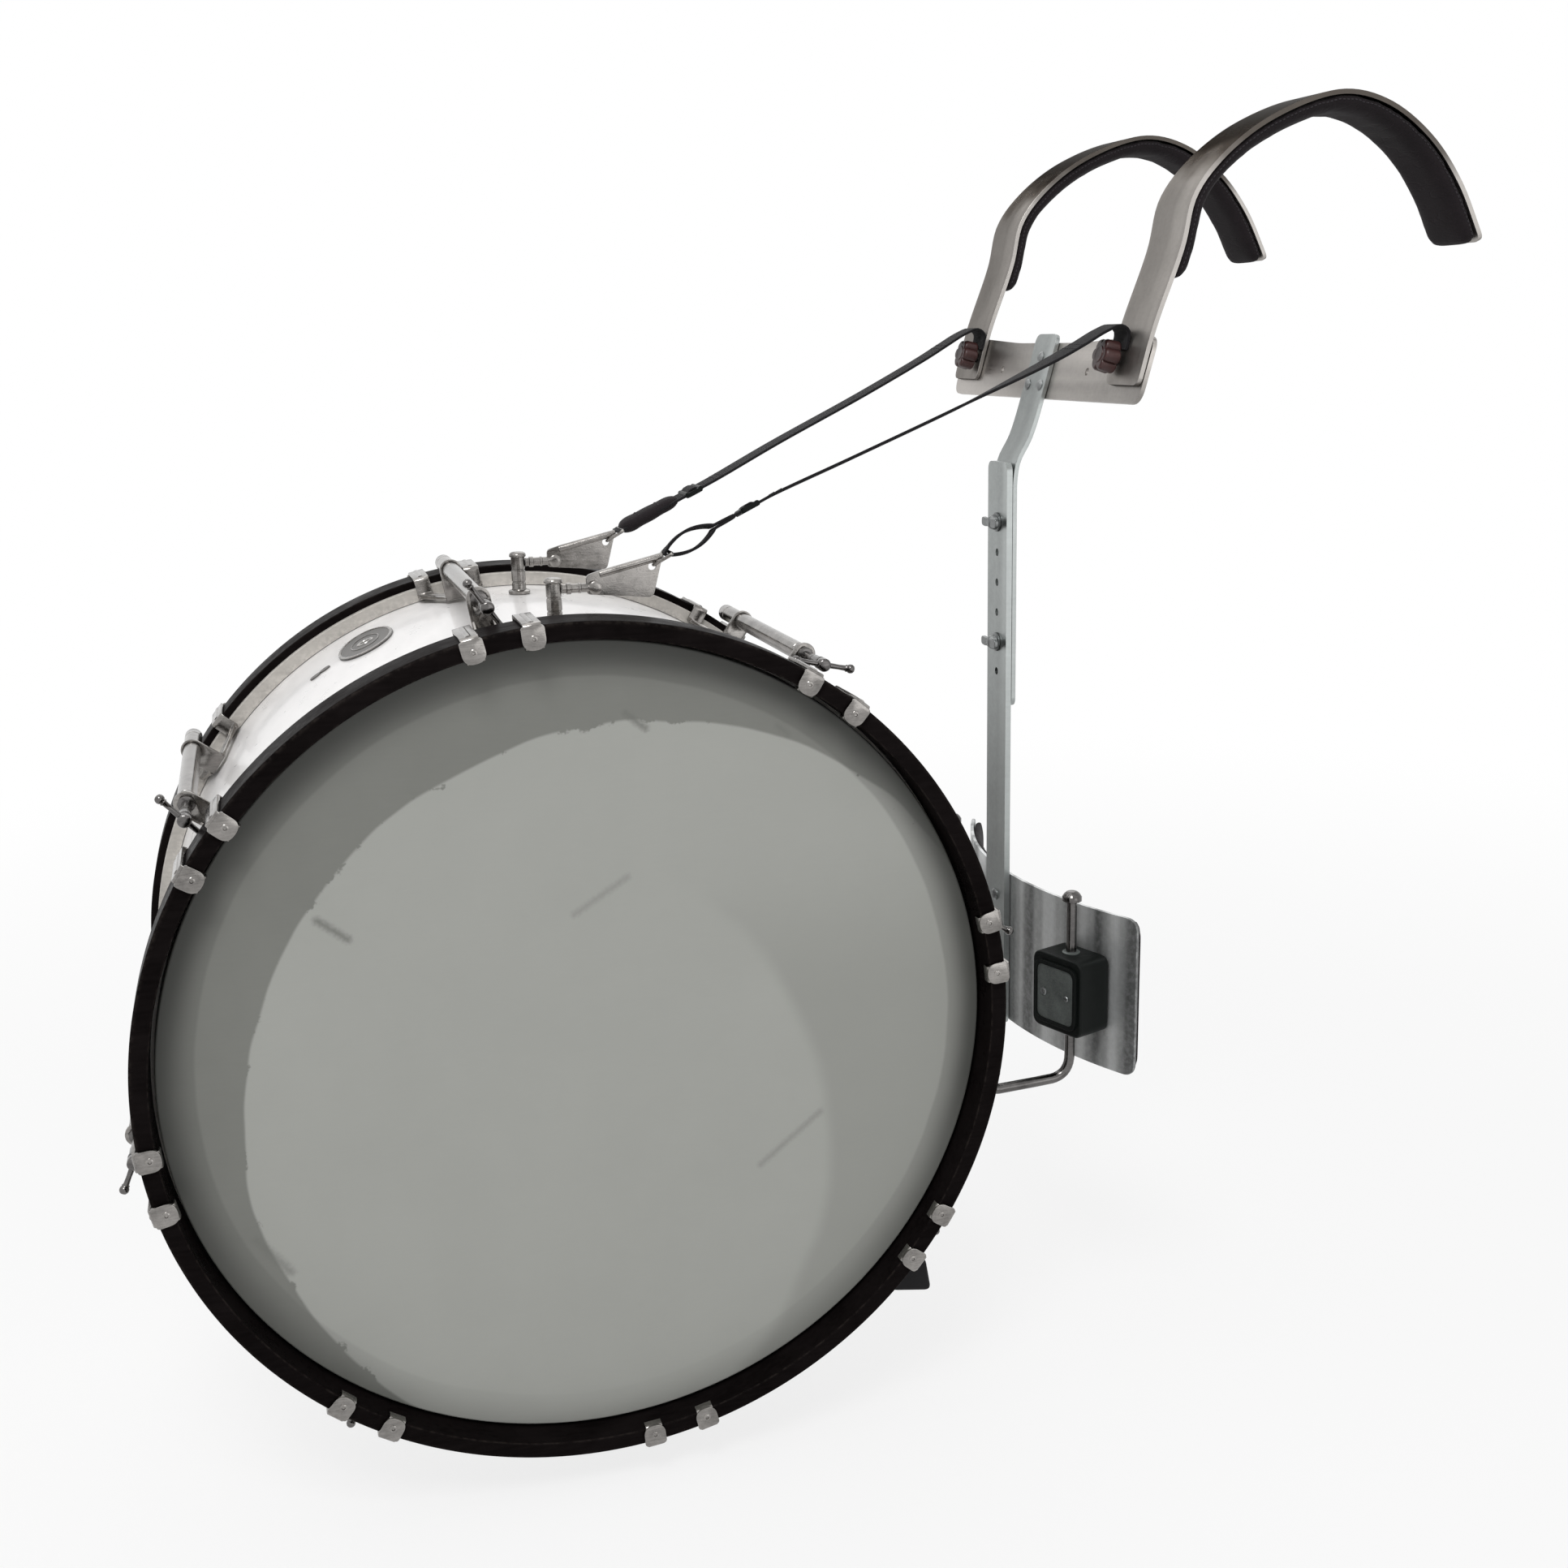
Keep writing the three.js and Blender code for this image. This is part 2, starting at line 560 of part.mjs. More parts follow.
// ---- Straps ------------------------------------------------------------

// The lower reach runs at one slope from the fan plate's tip to the buckle.
const lowerReach = STRAP.lower - STRAP.buckleLong / 2;
const strapSlope = degrees(STRAP.slope);
const [earTipX, earTipZ] = earPoint([1, 1]);
const hookX = earTipX + FIT.gap;
const hookZ = earTipZ - STRAP.hookDrop;

// Places a solid whose X runs up the strap's lower reach, from the ear to the buckle.
function strapFrame(node, side) {
  const pivot = new THREE.Group();
  pivot.position.set(hookX, side * earY, hookZ);
  pivot.rotation.y = -strapSlope;
  pivot.add(node);
  return pivot;
}

// The near strap's lower reach: an open loop of webbing.
function webbingLoop(name) {
  const long = (lowerReach - STRAP.tail) / 2;
  const ring = new THREE.Shape().absellipse(long, 0, long, STRAP.loop, 0, Math.PI * 2);
  const inner = new THREE.Path().absellipse(long, 0, long - STRAP.webbing, STRAP.loop - STRAP.webbing, 0, Math.PI * 2);
  ring.holes.push(inner);
  const loop = new THREE.ExtrudeGeometry(ring, {
    depth: 2 * STRAP.half, bevelEnabled: false, curveSegments: ROUND.loop,
  }).rotateX(QUARTER).translate(0, STRAP.half, 0);
  const tail = boxAt(lowerReach - STRAP.tail - STRAP.webbing, lowerReach - FIT.gap,
    -STRAP.half, STRAP.half, -STRAP.webbing / 2, STRAP.webbing / 2);
  return soft(name, join(loop, tail), COLOUR.web);
}

// The far strap's lower reach: a padded sleeve round the webbing.
function paddedSleeve(name) {
  const long = lowerReach - 2 * STRAP.tail;
  const sleeve = new THREE.CapsuleGeometry(1, 2, ROUND.corner, ROUND.boss).rotateZ(QUARTER)
    .scale(long / 4, STRAP.sleeveHalf, STRAP.sleeve).translate(STRAP.tail + long / 2, 0, 0);
  const webbing = boxAt(0, lowerReach - FIT.gap, -STRAP.half, STRAP.half,
    -STRAP.webbing / 2, STRAP.webbing / 2);
  return soft(name, join(sleeve, webbing), COLOUR.web);
}

// A ladder buckle: a plate with two slots for the webbing.
function ladderBuckle(name) {
  const long = STRAP.buckleLong / 2;
  const deep = STRAP.buckleDepth / 2;
  const centre = lowerReach + long;
  const plate = alongZ(outline(rectangle(centre - long, centre + long, -STRAP.buckleHalf, STRAP.buckleHalf),
    STRAP.bar), -deep, deep);
  const slots = [-1, 1].map((way) => {
    const middle = centre + way * (STRAP.bar + STRAP.barGap) / 2;
    return boxAt(middle - STRAP.barGap / 2, middle + STRAP.barGap / 2, -STRAP.half, STRAP.half,
      -deep - FIT.through, deep + FIT.through);
  });
  return mesh(name, cut(plate, ...slots), COLOUR.black, 0.5, 0);
}

// A point about the knob, in shares of its depth and radius, in the drum's frame.
function foldPoint([along, up]) {
  const behind = archFront - FIT.gap - KNOB.strapRoom / 2;
  return fromYoke(behind + along * KNOB.depth, up * knobOuter - KNOB.drop);
}

// The upper reach runs from the buckle to the yoke, spreading as it climbs, and
// folds over the knob's top to be pinched behind it.
function upperStrap(name, side) {
  const away = STRAP.lower + STRAP.buckleLong / 2 + FIT.running;
  const start = [hookX + away * Math.cos(strapSlope), earY, hookZ + away * Math.sin(strapSlope)];
  const [joinX, joinZ] = foldPoint(STRAP.joinShares);
  const end = [joinX, knobY, joinZ];
  const points = [[0, 0, 0], ...STRAP.riseShares, [1, 1, 1]].map((share) => {
    const [x, y, z] = share.map((part, i) => start[i] + part * (end[i] - start[i]));
    return new THREE.Vector3(x, side * y, z);
  });
  const path = new THREE.CatmullRomCurve3(points, false, 'centripetal');
  const section = outline(rectangle(-STRAP.half, STRAP.half, -STRAP.webbing / 2, STRAP.webbing / 2));
  const run = new THREE.ExtrudeGeometry(section, {
    steps: STRAP.steps, extrudePath: path, bevelEnabled: false,
  });
  const over = smoothLine(STRAP.foldShares.map(foldPoint), STRAP.foldSteps);
  const fold = alongY(strip(over, -STRAP.webbing / 2, STRAP.webbing / 2),
    side * knobY - STRAP.half, side * knobY + STRAP.half);
  return soft(name, join(run, fold), COLOUR.web);
}

// ---- Carrier post and belly plate --------------------------------------

function carrierPost() {
  const bar = alongX(outline(rectangle(-POST.half, POST.half, POST.low, POST.high), POST.round),
    postFront, postBack);
  const holes = Array.from({ length: POST.holes }, (_, i) => {
    const z = boltHighZ - i * POST.pitch;
    const clamped = i === 0 || i === POST.boltLow;
    return rodX(clamped ? POST.boltHole : POST.hole, postFront - FIT.through, postBack + FIT.through,
      0, z, ROUND.bore);
  });
  return brushed('post', cut(bar, ...holes));
}

// Point, outward normal and bearing of the belly plate's front at a given Y.
function bellyAt(y) {
  const angle = Math.asin(y / BELLY.radius);
  return {
    x: bellyApex + BELLY.radius * (1 - Math.cos(angle)),
    y,
    bearing: Math.PI - angle,
  };
}

// A curved sheet about the belly plate's centre of curvature.
function bellySheet(outerRadius, sheet, half, low, high, round) {
  const centre = bellyApex + BELLY.radius;
  const spread = Math.asin(half / BELLY.radius) * 1.02;
  const arc = (radius) => Array.from({ length: BELLY.facets + 1 }, (_, i) => {
    const angle = spread * (2 * i / BELLY.facets - 1);
    return [centre - radius * Math.cos(angle), radius * Math.sin(angle)];
  });
  const plan = outline([...arc(outerRadius), ...arc(outerRadius - sheet).reverse()]);
  const window = alongX(outline(rectangle(-half, half, low, high), round),
    bellyApex - BELLY.radius / 2, bellyApex + BELLY.radius);
  return common(alongZ(plan, low, high), window);
}

function bellyPlate() {
  return brushed('belly_plate', bellySheet(BELLY.radius, BELLY.sheet, bellyHalf, BELLY.low, BELLY.high,
    BELLY.round));
}

function bellyPad() {
  const inset = BELLY.padInset;
  return soft('belly_pad', bellySheet(BELLY.radius - BELLY.sheet - FIT.gap, BELLY.pad, bellyHalf - inset,
    BELLY.low + inset, BELLY.high - inset, BELLY.round - inset / 2));
}

// Wing bolt through the post and the stem, with its nut behind.
function heightBolt(name, z) {
  const head = postFront - FIT.gap - BOLT.headDepth;
  const wings = alongX(outline(rectangle(-BOLT.wing, BOLT.wing, -BOLT.wingTall / 2, BOLT.wingTall / 2),
    BOLT.wingSheet), head - BOLT.wingSheet, head);
  const nut = stemBack + FIT.gap;
  const bolt = metal(name, join(
    rodX(BOLT.shank, head, nut + BOLT.nutDepth, 0, 0),
    rodX(BOLT.head, head, postFront - FIT.gap, 0, 0, ROUND.boss),
    rodX(BOLT.nut, nut, nut + BOLT.nutDepth, 0, 0, ROUND.hex),
    wings), COLOUR.steel);
  bolt.position.z = z;
  return bolt;
}

// ---- J-rods, their clamps and sockets ----------------------------------

function rodClamp(name, side) {
  const seat = bellyAt(side * clampY);
  const back = FIT.gap;
  const front = back + CLAMP.depth;
  const block = alongX(outline(rectangle(-CLAMP.half, CLAMP.half, CLAMP.low, CLAMP.high), CLAMP.round),
    back, front);
  const face = alongX(outline(rectangle(-CLAMP.faceHalf, CLAMP.faceHalf, CLAMP.low + CLAMP.faceInset,
    CLAMP.high - CLAMP.faceInset), CLAMP.faceRound), front, front + CLAMP.face);
  const bore = rodZ(HOOK.bore, CLAMP.low - FIT.through, CLAMP.high + FIT.through, CLAMP.rod, 0, ROUND.bore);
  const clamp = mesh(name, cut(join(block, face), bore), COLOUR.black, 0.5, 0.1);
  clamp.position.set(seat.x, seat.y, 0);
  clamp.rotation.z = seat.bearing;
  return clamp;
}

// Where a clamp's bore stands: the J-rod's upright axis.
function hookAxis(side) {
  const seat = bellyAt(side * clampY);
  return {
    x: seat.x + CLAMP.rod * Math.cos(seat.bearing),
    y: seat.y + CLAMP.rod * Math.sin(seat.bearing),
  };
}

// The J-rod: down through the clamp, in under the socket, and up into it.
function hookRod(name, side) {
  const axis = hookAxis(side);
  const corner = (x, z) => new THREE.Vector3(x, axis.y, z);
  const path = new THREE.CurvePath();
  const rodTop = CLAMP.high + HOOK.rise;
  const tipStart = armZ + HOOK.tipRound;
  path.add(new THREE.LineCurve3(corner(axis.x, rodTop), corner(axis.x, kneeZ)));
  path.add(new THREE.QuadraticBezierCurve3(corner(axis.x, kneeZ), corner(axis.x, elbowZ),
    corner(axis.x - HOOK.kneeRound, elbowZ)));
  path.add(new THREE.LineCurve3(corner(axis.x - HOOK.kneeRound, elbowZ), corner(tipX + HOOK.tipRound, armZ)));
  path.add(new THREE.QuadraticBezierCurve3(corner(tipX + HOOK.tipRound, armZ),
    corner(tipX, armZ), corner(tipX, tipStart)));
  path.add(new THREE.LineCurve3(corner(tipX, tipStart), corner(tipX, armZ + HOOK.tip)));
  const section = new THREE.Shape().absarc(0, 0, HOOK.radius, 0, Math.PI * 2);
  const bar = new THREE.ExtrudeGeometry(section, {
    steps: HOOK.steps, extrudePath: path, bevelEnabled: false, curveSegments: ROUND.rod / 2,
  });
  const capTop = rodTop + HOOK.capDepth;
  return metal(name, join(bar,
    rodZ(HOOK.cap, rodTop, capTop, axis.x, axis.y, ROUND.boss),
    rodZ(HOOK.cap, capTop, capTop + HOOK.capDome, axis.x, axis.y, ROUND.boss, HOOK.radius)));
}

// The socket on the shell that the J-rod's upturned tip enters from below.
function hookSocket(name, side) {
  const y = hookAxis(side).y;
  const inside = SHELL.radius + SOCKET.standoff;
  const flange = common(
    huggingRing(SOCKET.standoff, SOCKET.flange, y - SOCKET.flangeHalf, y + SOCKET.flangeHalf),
    boxAt(0, tipX, y - SOCKET.flangeHalf, y + SOCKET.flangeHalf, socketLow - SOCKET.flangeBelow,
      socketHigh + SOCKET.flangeAbove));
  const block = join(
    boxAt(inside * Math.cos(Math.asin(socketLow / inside)) - SOCKET.half, tipX,
      y - SOCKET.half, y + SOCKET.half, socketLow, socketHigh),
    rodZ(SOCKET.half, socketLow, socketHigh, tipX, y, ROUND.boss));
  const [left, right] = [y - SOCKET.flangeHalf - FIT.through, y + SOCKET.flangeHalf + FIT.through];
  const core = turned([[0, left], [inside, left], [inside, right], [0, right]], false);
  const bore = rodZ(SOCKET.bore, socketLow - FIT.through, socketHigh + FIT.through, tipX, y, ROUND.bore);
  return metal(name, cut(join(flange, block), core, bore));
}

// ---- Yoke --------------------------------------------------------------

function yokeStem() {
  const low = boltLowZ - STEM.tail;
  const line = [[stemMiddle, low], [stemMiddle, bendZ], ...stemSlant];
  const bar = alongY(strip(line, -STEM.sheet / 2, STEM.sheet / 2), -STEM.half, STEM.half);
  const corners = alongX(outline(rectangle(-STEM.half, STEM.half, low, slantTop[1]), STEM.round),
    stemFront - FIT.through, slantTop[0] + STEM.sheet + FIT.through);
  const slot = alongX(outline(rectangle(-STEM.slotHalf, STEM.slotHalf, slotLow, slotHigh),
    STEM.slotHalf - FIT.gap), stemFront - FIT.through, stemBack + FIT.through);
  return brushed('stem', cut(common(bar, corners), slot));
}

// Places a solid drawn in the yoke plate's own frame.
function yokeFrame(node) {
  const pivot = new THREE.Group();
  pivot.position.set(yokeX, 0, yokeZ);
  pivot.rotation.y = yokeTilt;
  pivot.add(node);
  return pivot;
}

function chestPlate() {
  const dipZ = YOKE.above - YOKE.dip;
  const plan = [
    [-YOKE.half, -YOKE.below], [YOKE.half, -YOKE.below], [YOKE.half, YOKE.above],
    [YOKE.dipHalf, dipZ], [-YOKE.dipHalf, dipZ], [-YOKE.half, YOKE.above],
  ];
  const sheet = alongX(outline(plan, YOKE.round), yokeBack, yokeBack + YOKE.sheet);
  const holes = SIDES.map(([, side]) => rodX(KNOB.hole, yokeBack - FIT.through,
    yokeBack + YOKE.sheet + FIT.through, side * knobY, -KNOB.drop, ROUND.bore));
  return yokeFrame(brushed('chest_plate', cut(sheet, ...holes)));
}

// A point of the yoke plate's frame, given in the drum's frame.
function fromYoke(x, s) {
  return [
    yokeX + x * Math.cos(yokeTilt) + s * Math.sin(yokeTilt),
    yokeZ - x * Math.sin(yokeTilt) + s * Math.cos(yokeTilt),
  ];
}

const archFoot = [fromYoke(archFront, -ARCH.footBelow), fromYoke(archFront, ARCH.footAbove)];
const archCrown = ARCH.crownShares.map(([along, up]) => [
  archFoot[1][0] + along * ARCH.reach, archFoot[1][1] + up * ARCH.rise,
]);

// The arch's outer line from its foot on the plate, over the shoulder, to its end.
const archLine = smoothLine([...archFoot, ...archCrown], ARCH.samples);

function shoulderArch(name, side) {
  const y = side * archY;
  const bar = alongY(strip(archLine, 0, ARCH.sheet), y - ARCH.half, y + ARCH.half);
  const [footX, footZ] = fromYoke(0, -KNOB.drop);
  const hole = rodX(KNOB.hole, -ARCH.sheet - FIT.through, ARCH.sheet + FIT.through, side * knobY, 0, ROUND.bore)
    .rotateY(yokeTilt).translate(footX, 0, footZ);
  return brushed(name, cut(bar, hole));
}

function archPad(name, side) {
  const y = side * archY;
  const half = ARCH.half + ARCH.padOverhang;
  const skip = Math.round(archLine.length * ARCH.padStartShare);
  const line = archLine.slice(skip);
  const inner = ARCH.sheet + FIT.gap;
  return soft(name, alongY(strip(line, inner, inner + ARCH.padDepth), y - half, y + half));
}

// Lobed knob on a stud through the arch's foot and the yoke plate.
function strapKnob(name, side) {
  const lobes = Array.from({ length: KNOB.lobes }, (_, i) => {
    const angle = i * 2 * Math.PI / KNOB.lobes;
    return rodX(KNOB.lobe, knobFace - KNOB.depth, knobFace, KNOB.lobeRing * Math.cos(angle),
      KNOB.lobeRing * Math.sin(angle), ROUND.ball);
  });
  const knob = join(
    rodX(KNOB.radius, knobFace - KNOB.depth, knobFace, 0, 0, ROUND.boss),
    rodX(KNOB.stud, knobFace, yokeBack + YOKE.sheet + KNOB.studBack, 0, 0),
    ...lobes);
  const node = mesh(name, knob, COLOUR.knob, 0.6, 0);
  node.position.set(0, side * knobY, -KNOB.drop);
  return yokeFrame(node);
}

// ---- Assembly ----------------------------------------------------------

function drum() {
  const group = new THREE.Group();
  group.add(shellBody(), badgePlate(), rubberFoot(), tensionStations());
  for (const [label, side] of SIDES) {
    group.add(drumHead(`${label}_head`, side), hoopRing(`${label}_hoop`, side));
    group.add(earPost(`ear_post_${label}`, side), earPlate(`ear_plate_${label}`, side));
    group.add(hookSocket(`hook_socket_${label}`, side));
  }
  return group;
}

function carrier() {
  const group = new THREE.Group();
  group.add(carrierPost(), bellyPlate(), bellyPad(), yokeStem(), chestPlate());
  group.add(heightBolt('height_bolt_top', boltHighZ), heightBolt('height_bolt_low', boltLowZ));
  for (const [label, side] of SIDES) {
    group.add(rodClamp(`rod_clamp_${label}`, side), hookRod(`hook_rod_${label}`, side));
    group.add(shoulderArch(`arch_${label}`, side), archPad(`arch_pad_${label}`, side));
    group.add(strapKnob(`strap_knob_${label}`, side));
  }
  return group;
}

function straps() {
  const group = new THREE.Group();
  group.add(strapFrame(webbingLoop('lower_strap_near'), -1), strapFrame(paddedSleeve('lower_strap_far'), 1));
  for (const [label, side] of SIDES) {
    group.add(strapFrame(ladderBuckle(`strap_buckle_${label}`), side));
    group.add(upperStrap(`upper_strap_${label}`, side));
  }
  return group;
}

// The origin is the centre of the near head's outer face.
const instrument = new THREE.Group();
instrument.position.y = headFace;
instrument.add(drum(), carrier(), straps());

export default instrument;
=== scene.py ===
"""Marching bass drum on its shoulder carrier, dressed for rendering.

Shapes are drawn in millimetres about the drum's centre, with X toward the player,
Y along the drum's axis from the near head to the far head, and Z up as worn.
``Solid.place`` moves them into the row frame, in metres.
"""

import functools
import logging
import math
from dataclasses import dataclass, field
from enum import Enum
from typing import Callable, Sequence

import bmesh
import bpy
from mathutils import Matrix, Vector
from mathutils.bvhtree import BVHTree
from mathutils.geometry import tessellate_polygon
from mathutils.kdtree import KDTree


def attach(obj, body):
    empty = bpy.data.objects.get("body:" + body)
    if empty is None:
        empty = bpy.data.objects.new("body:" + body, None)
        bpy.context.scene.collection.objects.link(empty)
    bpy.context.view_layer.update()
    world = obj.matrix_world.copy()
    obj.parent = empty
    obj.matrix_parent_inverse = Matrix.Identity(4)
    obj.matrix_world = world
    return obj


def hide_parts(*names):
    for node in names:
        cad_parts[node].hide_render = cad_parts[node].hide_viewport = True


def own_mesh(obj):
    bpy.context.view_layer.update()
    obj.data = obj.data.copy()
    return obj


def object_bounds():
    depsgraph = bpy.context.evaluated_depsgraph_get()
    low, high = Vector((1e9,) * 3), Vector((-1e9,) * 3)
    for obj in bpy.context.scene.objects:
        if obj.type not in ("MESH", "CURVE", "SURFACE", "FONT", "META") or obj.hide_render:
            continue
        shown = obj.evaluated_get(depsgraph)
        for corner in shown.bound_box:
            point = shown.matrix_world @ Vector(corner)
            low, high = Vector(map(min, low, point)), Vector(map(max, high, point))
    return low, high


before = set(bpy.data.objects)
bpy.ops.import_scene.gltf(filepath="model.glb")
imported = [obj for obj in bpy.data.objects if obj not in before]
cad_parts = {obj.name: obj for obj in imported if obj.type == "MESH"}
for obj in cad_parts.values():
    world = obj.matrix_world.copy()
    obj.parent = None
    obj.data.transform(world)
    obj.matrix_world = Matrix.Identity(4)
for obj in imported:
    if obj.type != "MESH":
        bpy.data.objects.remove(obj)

LOG = logging.getLogger("marching_drum")
CAD_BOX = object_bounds()

Pair = tuple[float, float]
Triple = tuple[float, float, float]
Profile = tuple[Pair, ...]
Node, Object, Socket, Tree = bpy.types.Node, bpy.types.Object, bpy.types.NodeSocket, bpy.types.NodeTree
HEAD_FACE = 173.6  # the row's origin lies on the near head's outer face
TO_ROW = Matrix.Scale(0.001, 4) @ Matrix.Translation((0.0, HEAD_FACE, 0.0))
ROOT = "drum_and_post"
ACROSS, ALONG, UP = Vector((1.0, 0.0, 0.0)), Vector((0.0, 1.0, 0.0)), Vector((0.0, 0.0, 1.0))
FACING_X = Matrix(((0, 0, 1, 0), (1, 0, 0, 0), (0, 1, 0, 0), (0, 0, 0, 1)))  # an outline of (y, z)
FACING_Y = Matrix(((1, 0, 0, 0), (0, 0, -1, 0), (0, 1, 0, 0), (0, 0, 0, 1)))  # of (x, z), rising toward -Y
GAP = 0.3  # between pieces that touch
ROUND = 288  # steps round the shell, the heads and the hoops
SHARP = math.radians(38.0)  # edges over this angle stay sharp in shading
PRESSURE, PUFFING = 4.0, 20  # of the air in a pad, and the frames that it is blown up for


class Side(Enum):
    """Which end of the drum's axis a piece belongs to."""

    NEAR = -1
    FAR = 1

    @property
    def label(self) -> str:
        """The side's word in the node names."""
        return self.name.lower()

    @property
    def flip(self) -> Matrix:
        """Brings a shape that is drawn at the far end to this side's end."""
        return Matrix.Scale(self.value, 4, ALONG)


def srgb(red: int, green: int, blue: int) -> Triple:
    """Linear colour of a display colour.

    Args:
        red, green, blue: Display values from 0 to 255.

    Returns:
        The colour as linear values from 0 to 1.
    """
    def linear(value: int) -> float:
        share = value / 255
        return share / 12.92 if share <= 0.04045 else ((share + 0.055) / 1.055) ** 2.4
    return linear(red), linear(green), linear(blue)


def linked(name: str, data: bpy.types.ID) -> Object:
    """A new object in the scene, holding the given data."""
    made = bpy.data.objects.new(name, data)
    bpy.context.scene.collection.objects.link(made)
    return made


# Outlines and lines


def turns(count: int) -> list[float]:
    """Angles that part a full turn evenly."""
    return [2 * math.pi * i / count for i in range(count)]


def half_turn(steps: int) -> list[float]:
    """Angles from nought to half a turn, both ends included."""
    return [math.pi * i / steps for i in range(steps + 1)]


def power(value: float, exponent: float) -> float:
    """A value's size to a power, with its sign kept."""
    return math.copysign(abs(value) ** exponent, value)


def eased(share: float) -> float:
    """A share held between nought and one, with soft ends."""
    share = min(max(share, 0.0), 1.0)
    return share * share * (3 - 2 * share)


def bow(start: Vector, middle: Vector, end: Vector, steps: int) -> list[Vector]:
    """Points of the curve from start to end that is drawn toward middle."""
    shares = (k / steps for k in range(steps + 1))
    return [start * (1 - t) ** 2 + middle * (2 * t * (1 - t)) + end * t ** 2 for t in shares]


def rounded(corners: Sequence[Sequence[float]], radius: float, steps: int = 6) -> list[Pair]:
    """A closed outline whose corners are rounded.

    Args:
        corners: Corner points; a third value is that corner's own radius.
        radius: How far from a corner its rounding starts.
        steps: Points on each rounding.

    Returns:
        The outline's points.
    """
    made: list[Pair] = []
    count = len(corners)
    for i, corner in enumerate(corners):
        own = corner[2] if len(corner) > 2 else radius
        here = Vector(corner[:2])
        if own <= 0:
            made.append(tuple(here))
            continue
        enter = here + (Vector(corners[i - 1][:2]) - here).normalized() * own
        leave = here + (Vector(corners[(i + 1) % count][:2]) - here).normalized() * own
        made += [tuple(point) for point in bow(enter, here, leave, steps)]
    return made


def rectangle(x0: float, x1: float, y0: float, y1: float) -> list[Pair]:
    """The four corners of a rectangle, counterclockwise."""
    return [(x0, y0), (x1, y0), (x1, y1), (x0, y1)]


def bead(wide: float, tall: float) -> list[Pair]:
    """The oval section of a raised rib."""
    return [(x * wide, -y * tall) for x, y in circle(1.0, sides=12)]


def circle(radius: float, centre: Pair = (0.0, 0.0), sides: int = 24, stretch: float = 1.0) -> list[Pair]:
    """A closed circle or ellipse; stretch scales its second axis."""
    x, y = centre
    return [(x + radius * math.cos(t), y + radius * stretch * math.sin(t)) for t in turns(sides)]


def smooth_line(points: Sequence[Sequence[float]], samples: int) -> list[Vector]:
    """A centripetal spline through points, sampled evenly along its length.

    Args:
        points: The points that it passes through.
        samples: How many steps it is cut into.

    Returns:
        The sampled points.
    """
    given = [Vector(p) for p in points]
    ends = [2 * given[0] - given[1], *given, 2 * given[-1] - given[-2]]
    fine: list[Vector] = []
    for i in range(1, len(ends) - 2):
        p0, p1, p2, p3 = ends[i - 1:i + 3]
        d0, d1, d2 = ((b - a).length ** 0.5 or 1.0 for a, b in ((p0, p1), (p1, p2), (p2, p3)))
        enter = ((p1 - p0) / d0 - (p2 - p0) / (d0 + d1) + (p2 - p1) / d1) * d1
        leave = ((p2 - p1) / d1 - (p3 - p1) / (d1 + d2) + (p3 - p2) / d2) * d1
        for k in range(40):
            t = k / 40
            fine.append(p1 + enter * t + (3 * (p2 - p1) - 2 * enter - leave) * t * t
                        + (2 * (p1 - p2) + enter + leave) * t ** 3)
    return Line([*fine, given[-1]]).spaced(samples)


class Line:
    """A line through points that can be asked for places along its length."""

    def __init__(self, points: Sequence[Vector]) -> None:
        """Measure the line through the points."""
        self.points = [Vector(p) for p in points]
        self.marks = [0.0]
        for a, b in zip(self.points, self.points[1:]):
            self.marks.append(self.marks[-1] + (b - a).length)
        self.length = self.marks[-1]

    def at(self, distance: float) -> tuple[Vector, Vector]:
        """The point and direction at a distance from the start, also past the ends."""
        i = 0
        while i < len(self.points) - 2 and distance > self.marks[i + 1]:
            i += 1
        a, b = self.points[i], self.points[i + 1]
        step = b - a
        return a + step * ((distance - self.marks[i]) / step.length), step.normalized()

    def spaced(self, samples: int) -> list[Vector]:
        """Points at even distances from the start to the end."""
        return [self.at(self.length * i / samples)[0] for i in range(samples + 1)]

    def frame(self, distance: float, blend: float = 1.5) -> tuple[Vector, Vector]:
        """The point and the inward normal at a distance, smoothed over a short reach."""
        here = self.at(distance)[0]
        way = (self.at(distance + blend)[1] + self.at(distance - blend)[1]).normalized()
        return here, ALONG.cross(way)


# Solids


